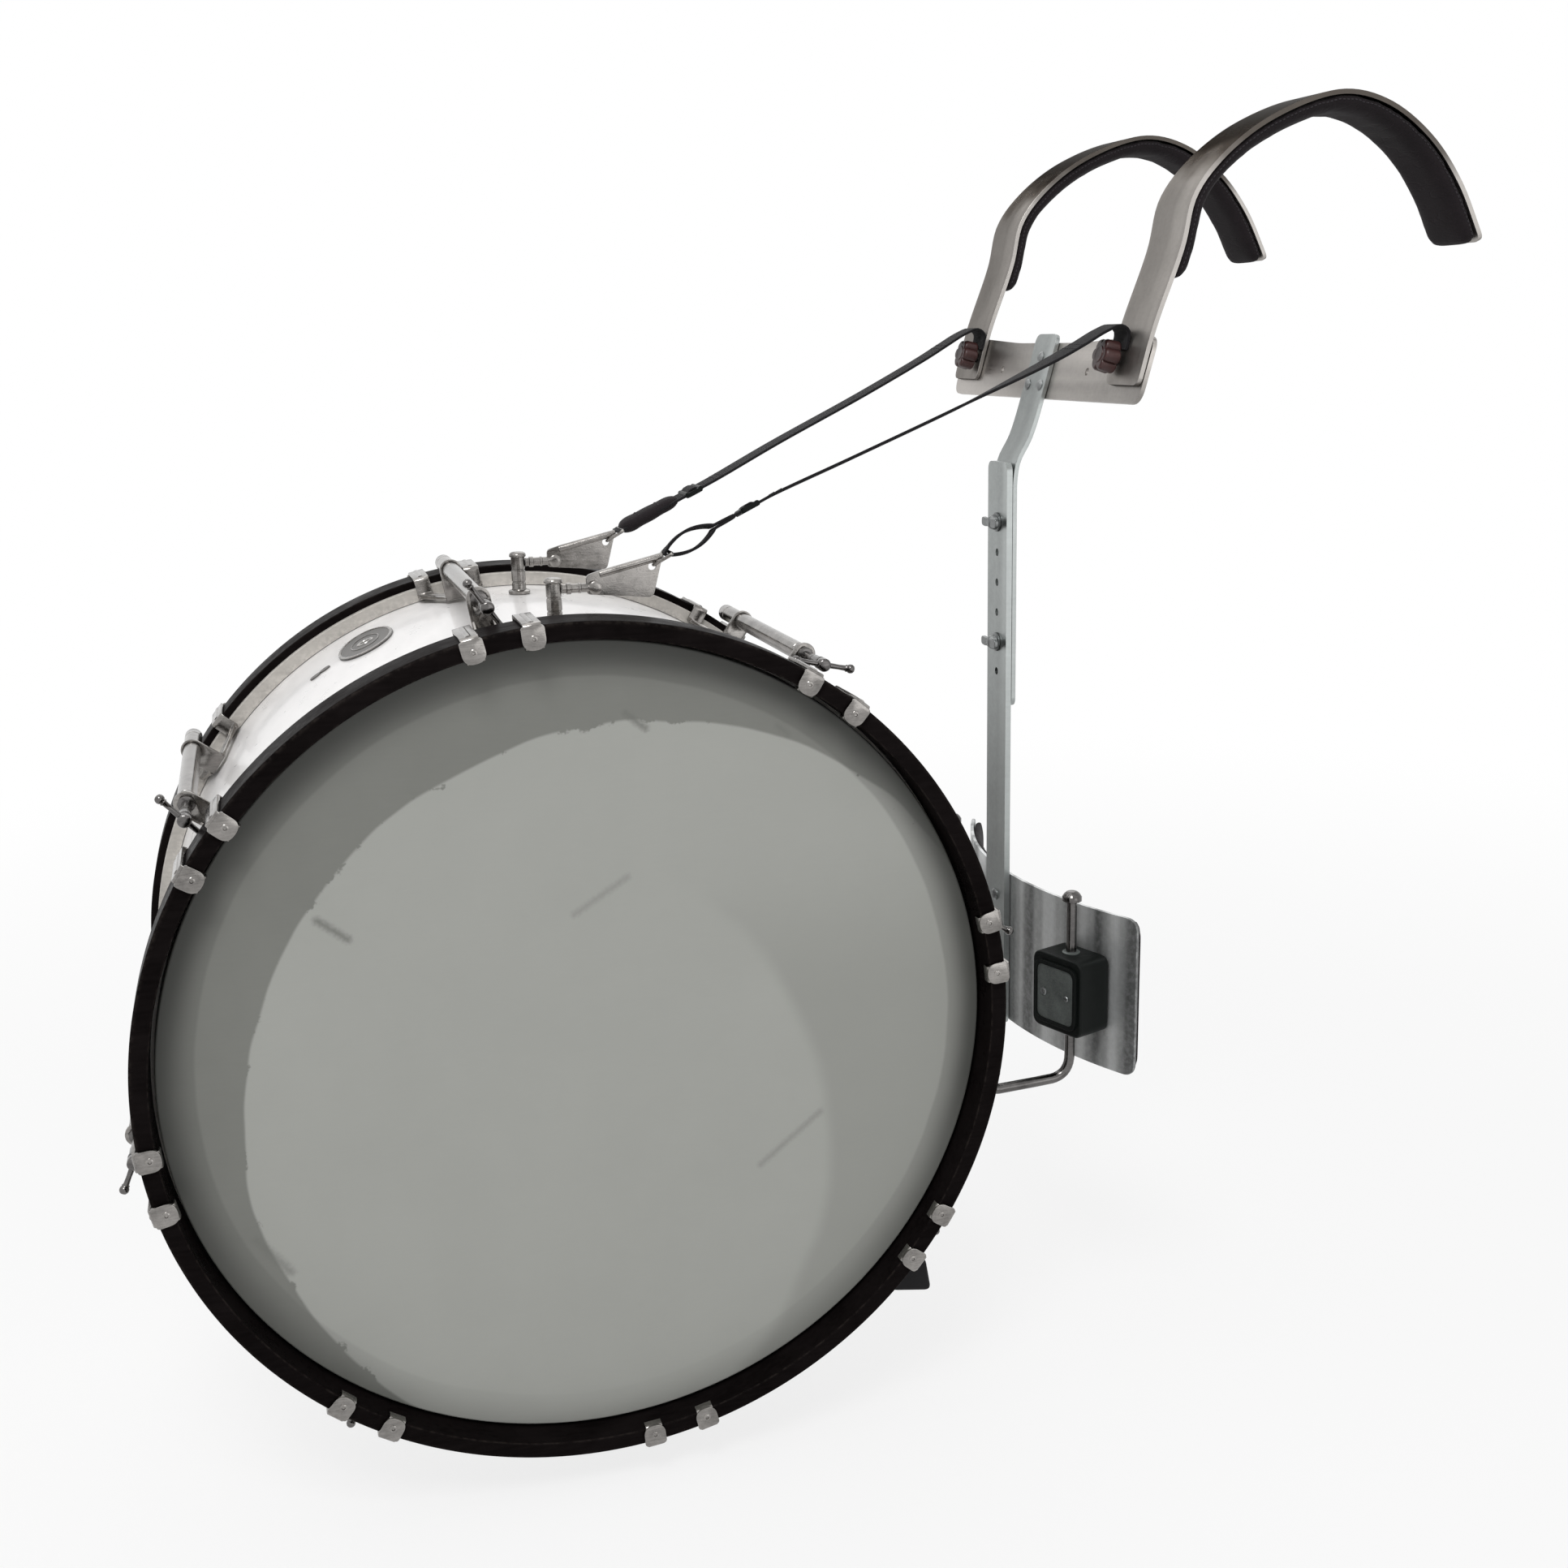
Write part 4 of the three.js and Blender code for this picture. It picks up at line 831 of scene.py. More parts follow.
@dataclass(frozen=True)
class HeadFilm(Finish):
    """Grey drumhead film: a paler disc with a ragged rim, a faint veil beside it, scuffs and painted shade
    along the edge.

    Attributes:
        pale: Colour inside the disc.
        disc: The disc's centre (across, up) and radius.
        veil: Centre and radius of the round beyond which the disc is a little duller.
        dusty: Where the painted shade along the outer edge starts and is full, as radii.
        scuffs: Start, end, width and strength of each mark.
    """

    pale: Triple = (0.34, 0.345, 0.325)
    disc: Triple = (0.0, 0.0, 200.0)
    veil: Triple = (0.0, 0.0, 400.0)
    dusty: Pair = (279.0, 302.0)
    scuffs: tuple[tuple[Pair, Pair, float, float], ...] = ()

    def reach(self, graph: Graph, flat: object, centre: Pair) -> Socket:
        """Distance on the film from a centre."""
        return graph.length(graph.vector("SUBTRACT", flat, (centre[0], 0.0, centre[1])))

    def paint(self, graph: Graph, shader: Node, place: Socket, surface: Socket) -> None:
        """Paint the disc, the veil and the painted shade along the edge by distance, broken by noise, and
        then the scuffs.
        """
        grain = graph.grain(place, 2.4, 0.00003)
        flat = graph.stretched(place, (1.0, 0.0, 1.0))
        broad = graph.times(graph.math("SUBTRACT", graph.noise(flat, 0.009, 2.0), 0.5), 16.0)
        tears = graph.remap(graph.noise(flat, 0.035, 4.0, 0.7), 0.55, 0.72, 0.0, 7.0)
        rim = graph.math("ADD", self.reach(graph, flat, self.disc[:2]), graph.math("ADD", broad, tears))
        inside = graph.remap(rim, self.disc[2] - 1.2, self.disc[2] + 1.6, 1.0, 0.0, smooth=True)
        cloud = graph.noise(flat, 0.012, 4.0, 0.6)
        fibres = graph.noise(graph.stretched(flat, (0.05, 1.0, 0.5)), 1.0, 4.0, 0.7)
        tone = graph.weighted(fibres, 0.3, cloud, 0.7)
        lower_tone = self.tones(graph, tone, 0.86, 1.1)
        bright = graph.mix(tone, tuple(0.93 * c for c in self.pale), tuple(1.07 * c for c in self.pale))
        beyond = graph.remap(graph.math("ADD", self.reach(graph, flat, self.veil[:2]), broad),
                             self.veil[2] - 7.0, self.veil[2] + 9.0, smooth=True)
        parts = graph.parts(flat)
        side = graph.remap(parts[0], 30.0, 120.0, smooth=True)
        low = graph.remap(parts[2], 20.0, 150.0, 1.0, 0.0, smooth=True)
        veiled = graph.times(graph.times(beyond, side), graph.times(low, 0.42))
        base = graph.mix(inside, lower_tone, graph.mix(veiled, bright, self.shade(1.12)))
        for start, end, width, strength in self.scuffs:
            mask = graph.group(stroke_effect(), vector=flat, start=(start[0], 0.0, start[1]),
                               end=(end[0], 0.0, end[1]), width=width).outputs[0]
            base = graph.mix(graph.times(mask, strength), base, self.shade(0.8))
        # Painted shade: the film darkens toward the hoop, more toward the top, where the hoop shades it.
        out = graph.math("MULTIPLY_ADD", broad, 0.4, self.reach(graph, flat, (0.0, 0.0)))
        step = graph.remap(out, self.dusty[0], self.dusty[0] + 3.0, 0.0, 0.32, smooth=True)
        edge = graph.math("ADD", step, graph.remap(out, *self.dusty, 0.0, 0.68, smooth=True))
        shade_toward_top = graph.remap(parts[2], -290.0, -60.0, 0.1, 0.9)
        # The rim's painted shade darkens the colour here.
        worn = graph.mix(graph.times(edge, shade_toward_top), base, self.shade(0.3))
        rough = self.rough(graph, graph.math("MULTIPLY_ADD", tone, 0.5, inside), -0.08, 0.1, 1.4)
        self.join(graph, shader, worn, rough, grain)


@dataclass(frozen=True)
class Lacquer(Finish):
    """Gloss lacquer over plied maple: slight orange peel, dust, and lighter rubbed edges that are partly wear
    and partly a painted highlight.
    """

    def paint(self, graph: Graph, shader: Node, place: Socket, surface: Socket) -> None:
        """Add orange peel, smudges and bright rubbed edges, partly wear and partly a painted highlight."""
        peel = graph.grain(place, 0.25, 0.00006)
        smudge = graph.smudges(place, 45.0)
        wear = graph.wear(place, 0.4)
        base = self.tones(graph, smudge, 0.7, 1.5)
        # The lighter edges are partly wear and partly a painted highlight along the hoop's edges.
        worn = graph.mix(wear, base, (0.09, 0.075, 0.065))
        rough = self.rough(graph, smudge, -0.08, 0.14)
        self.join(graph, shader, worn, rough, peel)


@dataclass(frozen=True)
class Plated(Finish):
    """Chrome plate or polished metal with dull spots, handling marks and rubbed edges."""

    def paint(self, graph: Graph, shader: Node, place: Socket, surface: Socket) -> None:
        """Vary tone and polish with smudges and fine pitting."""
        grain = graph.grain(place, 0.9, 0.00005)
        smudge = graph.smudges(place, 16.0)
        wear = graph.wear(place, 0.5)
        pits = graph.remap(graph.noise(place, 1.1, 2.0), 0.62, 0.72)
        base = self.tones(graph, smudge, 0.62, 1.25)
        spotted = graph.mix(graph.times(pits, 0.35), base, self.shade(0.3))
        worn = graph.mix(wear, spotted, self.shade(1.35))
        rough = self.rough(graph, graph.math("ADD", smudge, pits), -0.06, 0.16, 1.6)
        self.join(graph, shader, worn, rough, grain)


@dataclass(frozen=True)
class Brushed(Finish):
    """Brushed aluminium: streaks along the strip, broad bands of painted reflection, bright worn edges and,
    where set, a painted dark reflection above a height.
    """

    turn: bool = False
    bands: Pair = (0.9, 1.1)
    worn: float = 0.3
    dulled: Pair | None = None

    def paint(self, graph: Graph, shader: Node, place: Socket, surface: Socket) -> None:
        """Lay the brushing along the second surface coordinate, or along the first if turned."""
        parts = graph.parts(surface)
        order = (parts[1], parts[0]) if self.turn else (parts[0], parts[1])
        lined = graph.node("ShaderNodeCombineXYZ", {0: order[0], 1: order[1]}).outputs[0]
        lines = graph.group(brushed_effect(), vector=lined, relief=0.00002)
        smudge = graph.smudges(place, 38.0)
        wear = graph.wear(place, self.worn)
        streak = graph.remap(lines.outputs["Value"], 0.3, 0.7)
        # Painted reflection: broad lighter and darker bands across the metal.
        band = graph.remap(lines.outputs["Band"], 0.38, 0.62, smooth=True)
        tone = graph.weighted(streak, 0.6, smudge, 0.4)
        low, high = self.bands
        base = graph.mix(band, self.tones(graph, tone, low * 0.78, low * 1.1),
                         self.tones(graph, tone, high * 0.82, high * 1.14))
        # Painted dark reflection: the metal is painted darker and browner above a height, as on the arches'
        # crowns.
        if self.dulled:
            height = graph.math("MULTIPLY_ADD", graph.noise(place, 0.02, 2.0), 70.0, graph.parts(place)[2])
            low, high = self.dulled
            lower_tone = graph.remap(height, low + 35.0, high + 35.0, smooth=True)
            dark_reflection_colour = tuple(0.2 * part * tint for part, tint in zip(self.colour, (1.08, 1.0, 0.93)))
            base = graph.mix(lower_tone, base, dark_reflection_colour)
        worn = graph.mix(wear, base, self.shade(1.4))
        rough = self.rough(graph, streak, -0.06, 0.12)
        self.join(graph, shader, worn, rough, lines.outputs["Normal"])


@dataclass(frozen=True)
class Woven(Finish):
    """Webbing or knit cover: threads over and under, with lint and faded high spots."""

    pitch: float = 1.3
    relief: float = 0.00025

    def paint(self, graph: Graph, shader: Node, place: Socket, surface: Socket) -> None:
        """Weave along the surface coordinates, with fading and lint."""
        weave = graph.group(weave_effect(), vector=surface, pitch=self.pitch, relief=self.relief)
        smudge = graph.smudges(place, 35.0)
        lint = graph.remap(graph.noise(place, 0.7, 4.0, 0.75), 0.66, 0.76)
        tone = graph.weighted(smudge, 0.4, weave.outputs["Value"], 0.6)
        base = self.tones(graph, tone, 0.5, 1.7)
        dusty = graph.mix(graph.times(lint, 0.35), base, (0.14, 0.13, 0.13))
        rough = self.rough(graph, tone, -0.1, 0.08)
        self.join(graph, shader, dusty, rough, weave.outputs["Normal"])


@dataclass(frozen=True)
class FoamSkin(Finish):
    """Knit skin on closed foam: fine cells, shallow creases, lint and rubbed patches."""

    def paint(self, graph: Graph, shader: Node, place: Socket, surface: Socket) -> None:
        """Pit the skin with cells and crease it along soft noise."""
        cells = graph.node("ShaderNodeTexVoronoi", {"Vector": place, "Scale": 1.1}).outputs["Distance"]
        folds = graph.noise(graph.stretched(place, (0.07, 0.02, 0.07)), 1.0, 3.0, 0.55)
        crease = graph.remap(graph.math("ABSOLUTE", graph.math("SUBTRACT", folds, 0.5)), 0.0, 0.03, 1.0, 0.0)
        lint = graph.remap(graph.noise(place, 0.6, 4.0, 0.75), 0.66, 0.76)
        smudge = graph.smudges(place, 42.0)
        tone = graph.weighted(smudge, 0.6, cells, 0.5)
        base = self.tones(graph, tone, 0.6, 1.8)
        dusty = graph.mix(graph.times(lint, 0.3), base, (0.13, 0.12, 0.12))
        level = graph.weighted(crease, -0.6, cells, 0.35)
        bump = graph.bump(0.0003, level)
        rough = self.rough(graph, tone, -0.12, 0.06)
        self.join(graph, shader, dusty, rough, bump)


@dataclass(frozen=True)
class Timber(Finish):
    """Plied maple: grain along the hoop and thin ply lines."""

    def paint(self, graph: Graph, shader: Node, place: Socket, surface: Socket) -> None:
        """Streak the grain round the drum and line the plies across the wall."""
        lines = graph.noise(graph.stretched(place, (0.01, 0.4, 0.01)), 1.0, 5.0, 0.6)
        radius = graph.length(graph.stretched(place, (1.0, 0.0, 1.0)))
        plies = graph.math("SINE", graph.times(radius, 5.2))
        tone = graph.math("MULTIPLY_ADD", plies, 0.12, lines)
        base = self.tones(graph, tone, 0.7, 1.15)
        self.join(graph, shader, base, None, graph.bump(0.0001, lines))


PEARL = PearlWrap("pearl_wrap", srgb(240, 238, 237), 0.3, coat=0.3)
MAPLE = Timber("maple_ply", srgb(176, 146, 108), 0.55)
LACQUER = Lacquer("hoop_lacquer", srgb(19, 16, 16), 0.3, specular=0.02, ior=1.2)
FLESH = Finish("flesh_hoop", srgb(182, 178, 172), 0.4)
CHROME = Plated("chrome", srgb(138, 135, 132), 0.16, 1.0)
# Painted shade: a darker copy of the chrome for the T-screws and J-rods.
SHADED_CHROME = Plated("dark_chrome", srgb(102, 100, 99), 0.14, 1.0)
STEEL = Plated("zinc_steel", srgb(122, 124, 124), 0.32, 1.0)
# The bands on these brushed finishes are painted reflection.
ALUMINIUM = Brushed("brushed_aluminium", srgb(158, 162, 161), 0.34, 1.0, bands=(0.88, 1.15))
CROSS_BRUSHED = Brushed("cross_brushed_aluminium", srgb(152, 148, 144), 0.34, 1.0, turn=True,
                        bands=(0.85, 1.5))
# The arches' darker crown is a painted dark reflection.
ARCH_METAL = Brushed("arch_brushed_aluminium", srgb(170, 166, 162), 0.36, 1.0, bands=(0.86, 1.14), worn=0.1,
                     dulled=(604.0, 645.0), edge_tint=0.12)
BELLY_METAL = Brushed("belly_brushed_aluminium", srgb(208, 210, 210), 0.36, 0.7, bands=(0.26, 1.0),
                      specular=0.3)
BADGE = Plated("badge_metal", srgb(104, 102, 100), 0.4, 0.8)
BADGE_RIM = Plated("badge_rim", srgb(168, 166, 163), 0.24, 1.0)
PLASTIC = Finish("black_plastic", srgb(16, 19, 18), 0.4, specular=0.1)
FACE = Plated("clamp_face", srgb(92, 97, 95), 0.42, 0.5)
KNOB = Finish("knob_plastic", srgb(62, 38, 37), 0.36, specular=0.4)
RUBBER = Finish("rubber", srgb(20, 19, 21), 0.62, specular=0.2)
FOAM = FoamSkin("foam_cover", srgb(26, 22, 24), 0.88, sheen=0.06, specular=0.15)
WEBBING = Woven("webbing", srgb(24, 23, 25), 0.8, sheen=0.06, specular=0.15, pitch=1.5)
THREAD = Woven("thread", srgb(46, 43, 46), 0.8, sheen=0.1, specular=0.2, pitch=0.4, relief=0.00005)
# Painted shade for the inside of the vent hole.
VENT_SHADE = Finish("dark_opening", srgb(14, 13, 13), 0.8)


# Repeats


def _copier(name: str, *numbers: str) -> tuple[Graph, object, Socket]:
    """A geometry tree that copies a piece.

    Args:
        name: The tree's name.
        numbers: Names of its inputs that hold a length or an angle.

    Returns:
        The tree's graph, its input node's sockets and the geometry of the piece to copy.
    """
    tree = bpy.data.node_groups.new(name, "GeometryNodeTree")
    tree.interface.new_socket(name="Geometry", in_out="OUTPUT", socket_type="NodeSocketGeometry")
    sockets = {"Piece": "Object", "Material": "Material", **dict.fromkeys(numbers, "Float")}
    for key, kind in sockets.items():
        tree.interface.new_socket(name=key, in_out="INPUT", socket_type="NodeSocket" + kind)
    graph = Graph(tree)
    given = graph.node("NodeGroupInput").outputs
    return graph, given, _shape_of(graph, given["Piece"])


def _shape_of(graph: Graph, source: Socket) -> Socket:
    """The geometry of an object that a socket names."""
    return graph.node("GeometryNodeObjectInfo", {"Object": source}).outputs["Geometry"]


def _realized(graph: Graph, points: Socket, piece: Socket, turn: Socket, material: Socket) -> Tree:
    """End a geometry tree: stand a piece on points, make the copies real and paint them."""
    copies = graph.node("GeometryNodeInstanceOnPoints",
                        {"Points": points, "Instance": piece, "Rotation": turn})
    real = graph.node("GeometryNodeRealizeInstances", {0: copies.outputs[0]})
    painted = graph.node("GeometryNodeSetMaterial", {"Geometry": real.outputs[0], "Material": material})
    graph.node("NodeGroupOutput", {0: painted.outputs[0]})
    return graph.tree


@functools.cache
def station_ring() -> Tree:
    """Stands copies of a piece round the drum's axis, by count, first angle and step."""
    graph, given, piece = _copier("station_ring", "Count", "First", "Step", "Shift")
    place = graph.node("ShaderNodeCombineXYZ", {1: given["Shift"]}).outputs[0]
    points = graph.node("GeometryNodePoints", {"Count": given["Count"], "Position": place}).outputs[0]
    index = graph.node("GeometryNodeInputIndex").outputs[0]
    angle = graph.math("MULTIPLY_ADD", index, given["Step"], given["First"])
    turn = graph.node("ShaderNodeCombineXYZ", {1: angle}).outputs[0]
    return _realized(graph, points, piece, turn, given["Material"])


@functools.cache
def path_row() -> Tree:
    """Sets copies of a piece along a curve at an even spacing, turned along it."""
    graph, given, piece = _copier("path_row", "Spacing")
    graph.tree.interface.new_socket(name="Path", in_out="INPUT", socket_type="NodeSocketObject")
    row = graph.node("GeometryNodeCurveToPoints", {
        "Curve": _shape_of(graph, given["Path"]), "Length": given["Spacing"]}, mode="LENGTH").outputs
    return _realized(graph, row["Points"], piece, row["Rotation"], given["Material"])


def repeat(name: str, tree: Tree, values: dict[str, object]) -> Object:
    """Run a geometry tree once and keep its result as a plain mesh.

    Args:
        name: The new piece's name.
        tree: The geometry tree.
        values: Its inputs by name.

    Returns:
        The new object, not yet dressed.
    """
    made = linked(name, bpy.data.meshes.new(name))
    modifier = made.modifiers.new("repeat", "NODES")
    modifier.node_group = tree
    for item in tree.interface.items_tree:
        if item.in_out == "INPUT" and item.name in values:
            modifier[item.identifier] = values[item.name]
    settle(made)
    return made


def pattern(solid: Solid, name: str) -> Object:
    """A helper piece for a geometry tree to copy, drawn about the origin."""
    mesh = solid.mesh(name)
    mesh.transform(Matrix.Translation((0.0, -HEAD_FACE / 1000, 0.0)))
    return linked(name, mesh)


def discard(*pieces: Object) -> None:
    """Remove helper objects."""
    for piece in pieces:
        bpy.data.objects.remove(piece, do_unlink=True)


def stitches(name: str, paths: Sequence[Sequence[Vector]], slot: str, body: str = ROOT) -> Object:
    """Rows of thread stitches along paths, in millimetres about the drum's centre."""
    curve = bpy.data.curves.new(name + "_path", "CURVE")
    curve.dimensions = "3D"
    for path in paths:
        spline = curve.splines.new("POLY")
        spline.points.add(len(path) - 1)
        for point, place in zip(spline.points, path):
            point.co = (*(TO_ROW @ Vector(place)), 1.0)
    route = linked(name + "_path", curve)
    half, spacing = 1.15, 3.4
    stitch = [(0.12, -half), (0.42, -half + 0.35), (0.5, 0.0), (0.42, half - 0.35), (0.12, half)]
    thread = pattern(Solid().turned(stitch, (0.0, 0.0, 0.0), UP, 8), name + "_bead")
    made = repeat(name, path_row(), {"Piece": thread, "Path": route, "Spacing": spacing / 1000,
                                     "Material": THREAD.material()})
    discard(thread, route)
    return dress(made, slot, body, ())


# Drum


@dataclass
class Drum:
    """The shell, heads, counterhoops, badge and foot.

    Attributes:
        radius: Outside radius of the shell.
        wall: Thickness of the shell.
        half_depth: Half of the shell's length.
        hoop_radius: Outside radius of the counterhoops.
        hoop_wall: Thickness of the counterhoops.
        hoop_depth: How far a counterhoop reaches along the drum.
        recess: How far a counterhoop stands out past the head.
        collar: Outside radius of the head's collar.
        flesh: Where the flesh hoop starts and ends along the drum.
        badge_angle, badge_y: The badge's place round and along the shell.
        studs: Places of the two small plates beside the badge, the same way.
        grommet: The vent grommet's section, as radii and heights over the shell.
        foot_angle: The foot's place round the shell.
        foot_y: Where the foot starts and ends along the drum.
        screw: The domed head of the flange's screws.
    """

    radius: float = 304.8
    wall: float = 6.0
    half_depth: float = 172.6
    hoop_radius: float = 322.0
    hoop_wall: float = 13.0
    hoop_depth: float = 38.1
    recess: float = 21.4
    collar: float = 306.05
    flesh: Pair = (148.3, 156.6)
    badge_angle: float = 114.75
    badge_y: float = 58.0
    studs: Profile = ((121.9, 52.0), (123.6, 50.5))
    grommet: Profile = ((4.4, -7.5), (5.0, -7.5), (5.0, 1.2), (7.0, 1.2), (7.3, 1.6), (7.0, 2.1), (6.0, 2.4),
                        (4.9, 2.0), (4.4, 1.2))
    foot_angle: float = -44.5
    foot_y: Pair = (-147.0, -117.0)
    screw: Profile = ((2.7, 0.0), (2.7, 0.8), (2.0, 1.7), (0.8, 2.0))

    def build(self) -> None:
        """Make every piece of the drum."""
        self.shell()
        for side in Side:
            self.head(side)
            self.hoop(side)
        self.badge()
        self.foot()

    def shell(self) -> None:
        """The wrapped shell with its bevelled bearing edges."""
        inner, half = self.radius - self.wall, self.half_depth
        edge = [(inner, half - 6.0), (inner + 1.6, half - 2.6), (self.radius - 2.6, half - 0.2),
                (self.radius - 1.8, half), (self.radius - 0.6, half - 0.5), (self.radius, half - 1.6)]
        back = [(r, -y) for r, y in reversed(edge)]
        profile = [*edge, *back]
        wood = [1] * (len(edge) - 1) + [0] + [1] * (len(edge) - 1) + [1]
        Solid().lathe(profile, wood).place("drum_shell", "shell_wrap", [PEARL, MAPLE],
                                                stands_for=["shell"])

    def head(self, side: Side) -> None:
        """One head: film with its rolled collar, and the flesh hoop."""
        face, skin, bore = HEAD_FACE, self.collar, self.collar - 0.8
        rear, front = self.flesh
        outer = [(skin - 1.5, face), (skin - 0.7, face - 0.25), (skin - 0.2, face - 0.75), (skin, face - 1.5),
                 (skin, front + 0.6), (skin + 0.6, front)]
        ring = [(skin + 9.2, front), (skin + 9.8, front - 0.3), (skin + 10.0, front - 0.9),
                (skin + 10.0, rear + 0.9), (skin + 9.7, rear + 0.2), (skin + 9.0, rear), (bore, rear)]
        profile = [(0.0, face), (skin - 30.0, face), *outer, *ring, (bore, face - 0.7), (0.0, face - 0.7)]
        materials = [0] * (1 + len(outer)) + [1] * len(ring) + [0, 0, 0]
        Solid().lathe(profile, materials).move(side.flip).place(
            f"{side.label}_drumhead", "head_film", [HEAD_FILMS[side], FLESH],
            stands_for=[f"{side.label}_head"])

    def hoop(self, side: Side) -> None:
        """One counterhoop, rounded at its outer edges."""
        inner, outer = self.hoop_radius - self.hoop_wall, self.hoop_radius
        front = HEAD_FACE + self.recess
        rear = front - self.hoop_depth
        profile = rounded([(inner, front, 1.6), (outer, front, 3.2), (outer, rear, 1.2), (inner, rear, 0.9)],
                          1.0, 5)
        Solid().lathe(profile).move(side.flip).place(
            f"{side.label}_counterhoop", "hoop_lacquer", [LACQUER], stands_for=[f"{side.label}_hoop"])

    def on_shell(self, angle: float, y: float) -> Matrix:
        """A frame on the shell: X round the drum, Y along its axis, Z outward."""
        return Matrix.Translation((0.0, y, 0.0)) @ Matrix.Rotation(math.pi / 2 - math.radians(angle), 4, "Y")

    def wrap(self, solid: Solid, standoff: float) -> Solid:
        """Bend a flat solid, drawn at height zero, onto the shell's round."""
        base = self.radius + standoff

        def rule(point: Vector) -> Vector:
            turn = point.x / base
            return Vector(((base + point.z) * math.sin(turn), point.y, (base + point.z) * math.cos(turn)))
        return solid.slice(ACROSS, [i * 4.0 for i in range(-8, 9)]).bend(rule)

    def badge(self) -> None:
        """The bare oval badge with its raised rim and vent grommet, a dark disc of painted shade in the vent,
        and two small plates beside it.
        """
        plate = Solid().prism(circle(24.0, sides=48, stretch=44.0 / 24.0), 0.0, 0.9,
                              holes=[circle(5.2, sides=24)]).soften(0.3, 2)
        for reach, wide in ((23.6, 2.2), (12.6, 1.2)):
            outer, inner = circle(reach, sides=48, stretch=43.6 / 23.6), reach - wide
            ring = Solid(2).prism(outer, 0.7, 1.5, holes=[circle(inner, sides=48, stretch=41.4 / 21.4)])
            plate.add(ring.soften(0.3, 2))
        whole = self.wrap(plate, 0.55)
        rings = [[Vector((r * math.cos(t), r * math.sin(t), self.radius + z)) for r, z in self.grommet]
                 for t in turns(32)]
        whole.add(Solid(2).loft(rings, wrap=True))
        # Painted shade: a dark disc inside the vent hole.
        whole.add(Solid(1).rod(4.4, (0.0, 0.0, self.radius - 5.0), (0.0, 0.0, self.radius - 3.0), 24))
        whole.move(self.on_shell(self.badge_angle, self.badge_y))
        whole.place("vent_badge", "badge_metal", [BADGE, VENT_SHADE, BADGE_RIM], stands_for=["shell_badge"])
        for number, (angle, y) in enumerate(self.studs, 1):
            dot = Solid().prism(circle(5.0, sides=24, stretch=0.86), 0.0, 1.2).soften(0.4, 2)
            dot = self.wrap(dot, 0.05).move(self.on_shell(angle, y))
            dot.place(f"shell_stud_{number}", "badge_metal", [BADGE])

    def foot(self) -> None:
        """The rubber foot on its stem, with the flange that holds it to the shell."""
        front, back = self.foot_y
        middle = (front + back) / 2
        span, grip = 52.3, self.radius + 50.0
        corners = [(-0.12, 0.0), (-0.495, 0.516), (-0.14, 1.0), (0.262, 0.428)]
        outline = rounded([(a * span, self.radius + 24.1 + b * span) for a, b in corners], 6.5, 8)
        body = Solid().prism(outline, -back, -front, FACING_Y).soften(2.6, 4)
        raised = [(a * 0.97 * 1.05, grip + (b - grip) * 0.985 + 0.35) for a, b in outline]
        for shift in (-8.0, 0.0, 8.0):
            ridge = Solid().prism(raised, -middle - shift - 1.6, -middle - shift + 1.6, FACING_Y)
            body.add(ridge.soften(0.7, 2))
        body.add(Solid().rod(8.0, (0.0, middle, self.radius + 1.5), (0.0, middle, self.radius + 42.0), 28))
        flange = Solid(1).prism(rounded(rectangle(-13, 13, -13, 13), 4.0), 0.0, 3.0,
                                holes=[circle(1.0, sides=12)]).soften(0.7)
        body.add(self.wrap(flange, 0.75), Matrix.Translation((0.0, middle, 0.0)))
        for x in (-9.6, 9.6):
            for y in (-9.6, 9.6):
                body.add(Solid(1).turned(self.screw, (x, middle + y, self.radius + 3.3), UP, 16))
        body.move(self.on_shell(self.foot_angle, 0.0))
        body.place("drum_foot", "rubber", [RUBBER, CHROME], stands_for=["rubber_foot"])


HEAD_FILMS = {
    Side.NEAR: HeadFilm(
        "near_head_film", srgb(124, 125, 120), 0.5, specular=0.3, pale=srgb(164, 165, 160),
        disc=(38.0, -43.0, 289.0), veil=(-86.0, -98.0, 268.0),
        scuffs=(((-188.0, 122.0), (-168.0, 106.0), 5.0, 0.8), ((36.0, 251.0), (50.0, 239.0), 4.5, 0.8),
                ((-8.0, 106.0), (32.0, 130.0), 4.5, 0.35), ((126.0, -112.0), (175.0, -75.0), 4.5, 0.4),
                ((-249.0, -112.0), (-228.0, -140.0), 6.0, 0.6), ((148.0, 233.0), (156.0, 226.0), 4.0, 0.6))),
    Side.FAR: HeadFilm(
        "far_head_film", srgb(132, 133, 128), 0.5, specular=0.3, pale=srgb(158, 159, 154),
        disc=(-22.0, -30.0, 262.0), scuffs=(((40.0, 70.0), (86.0, 104.0), 4.0, 0.35),)),
}


# Tension stations


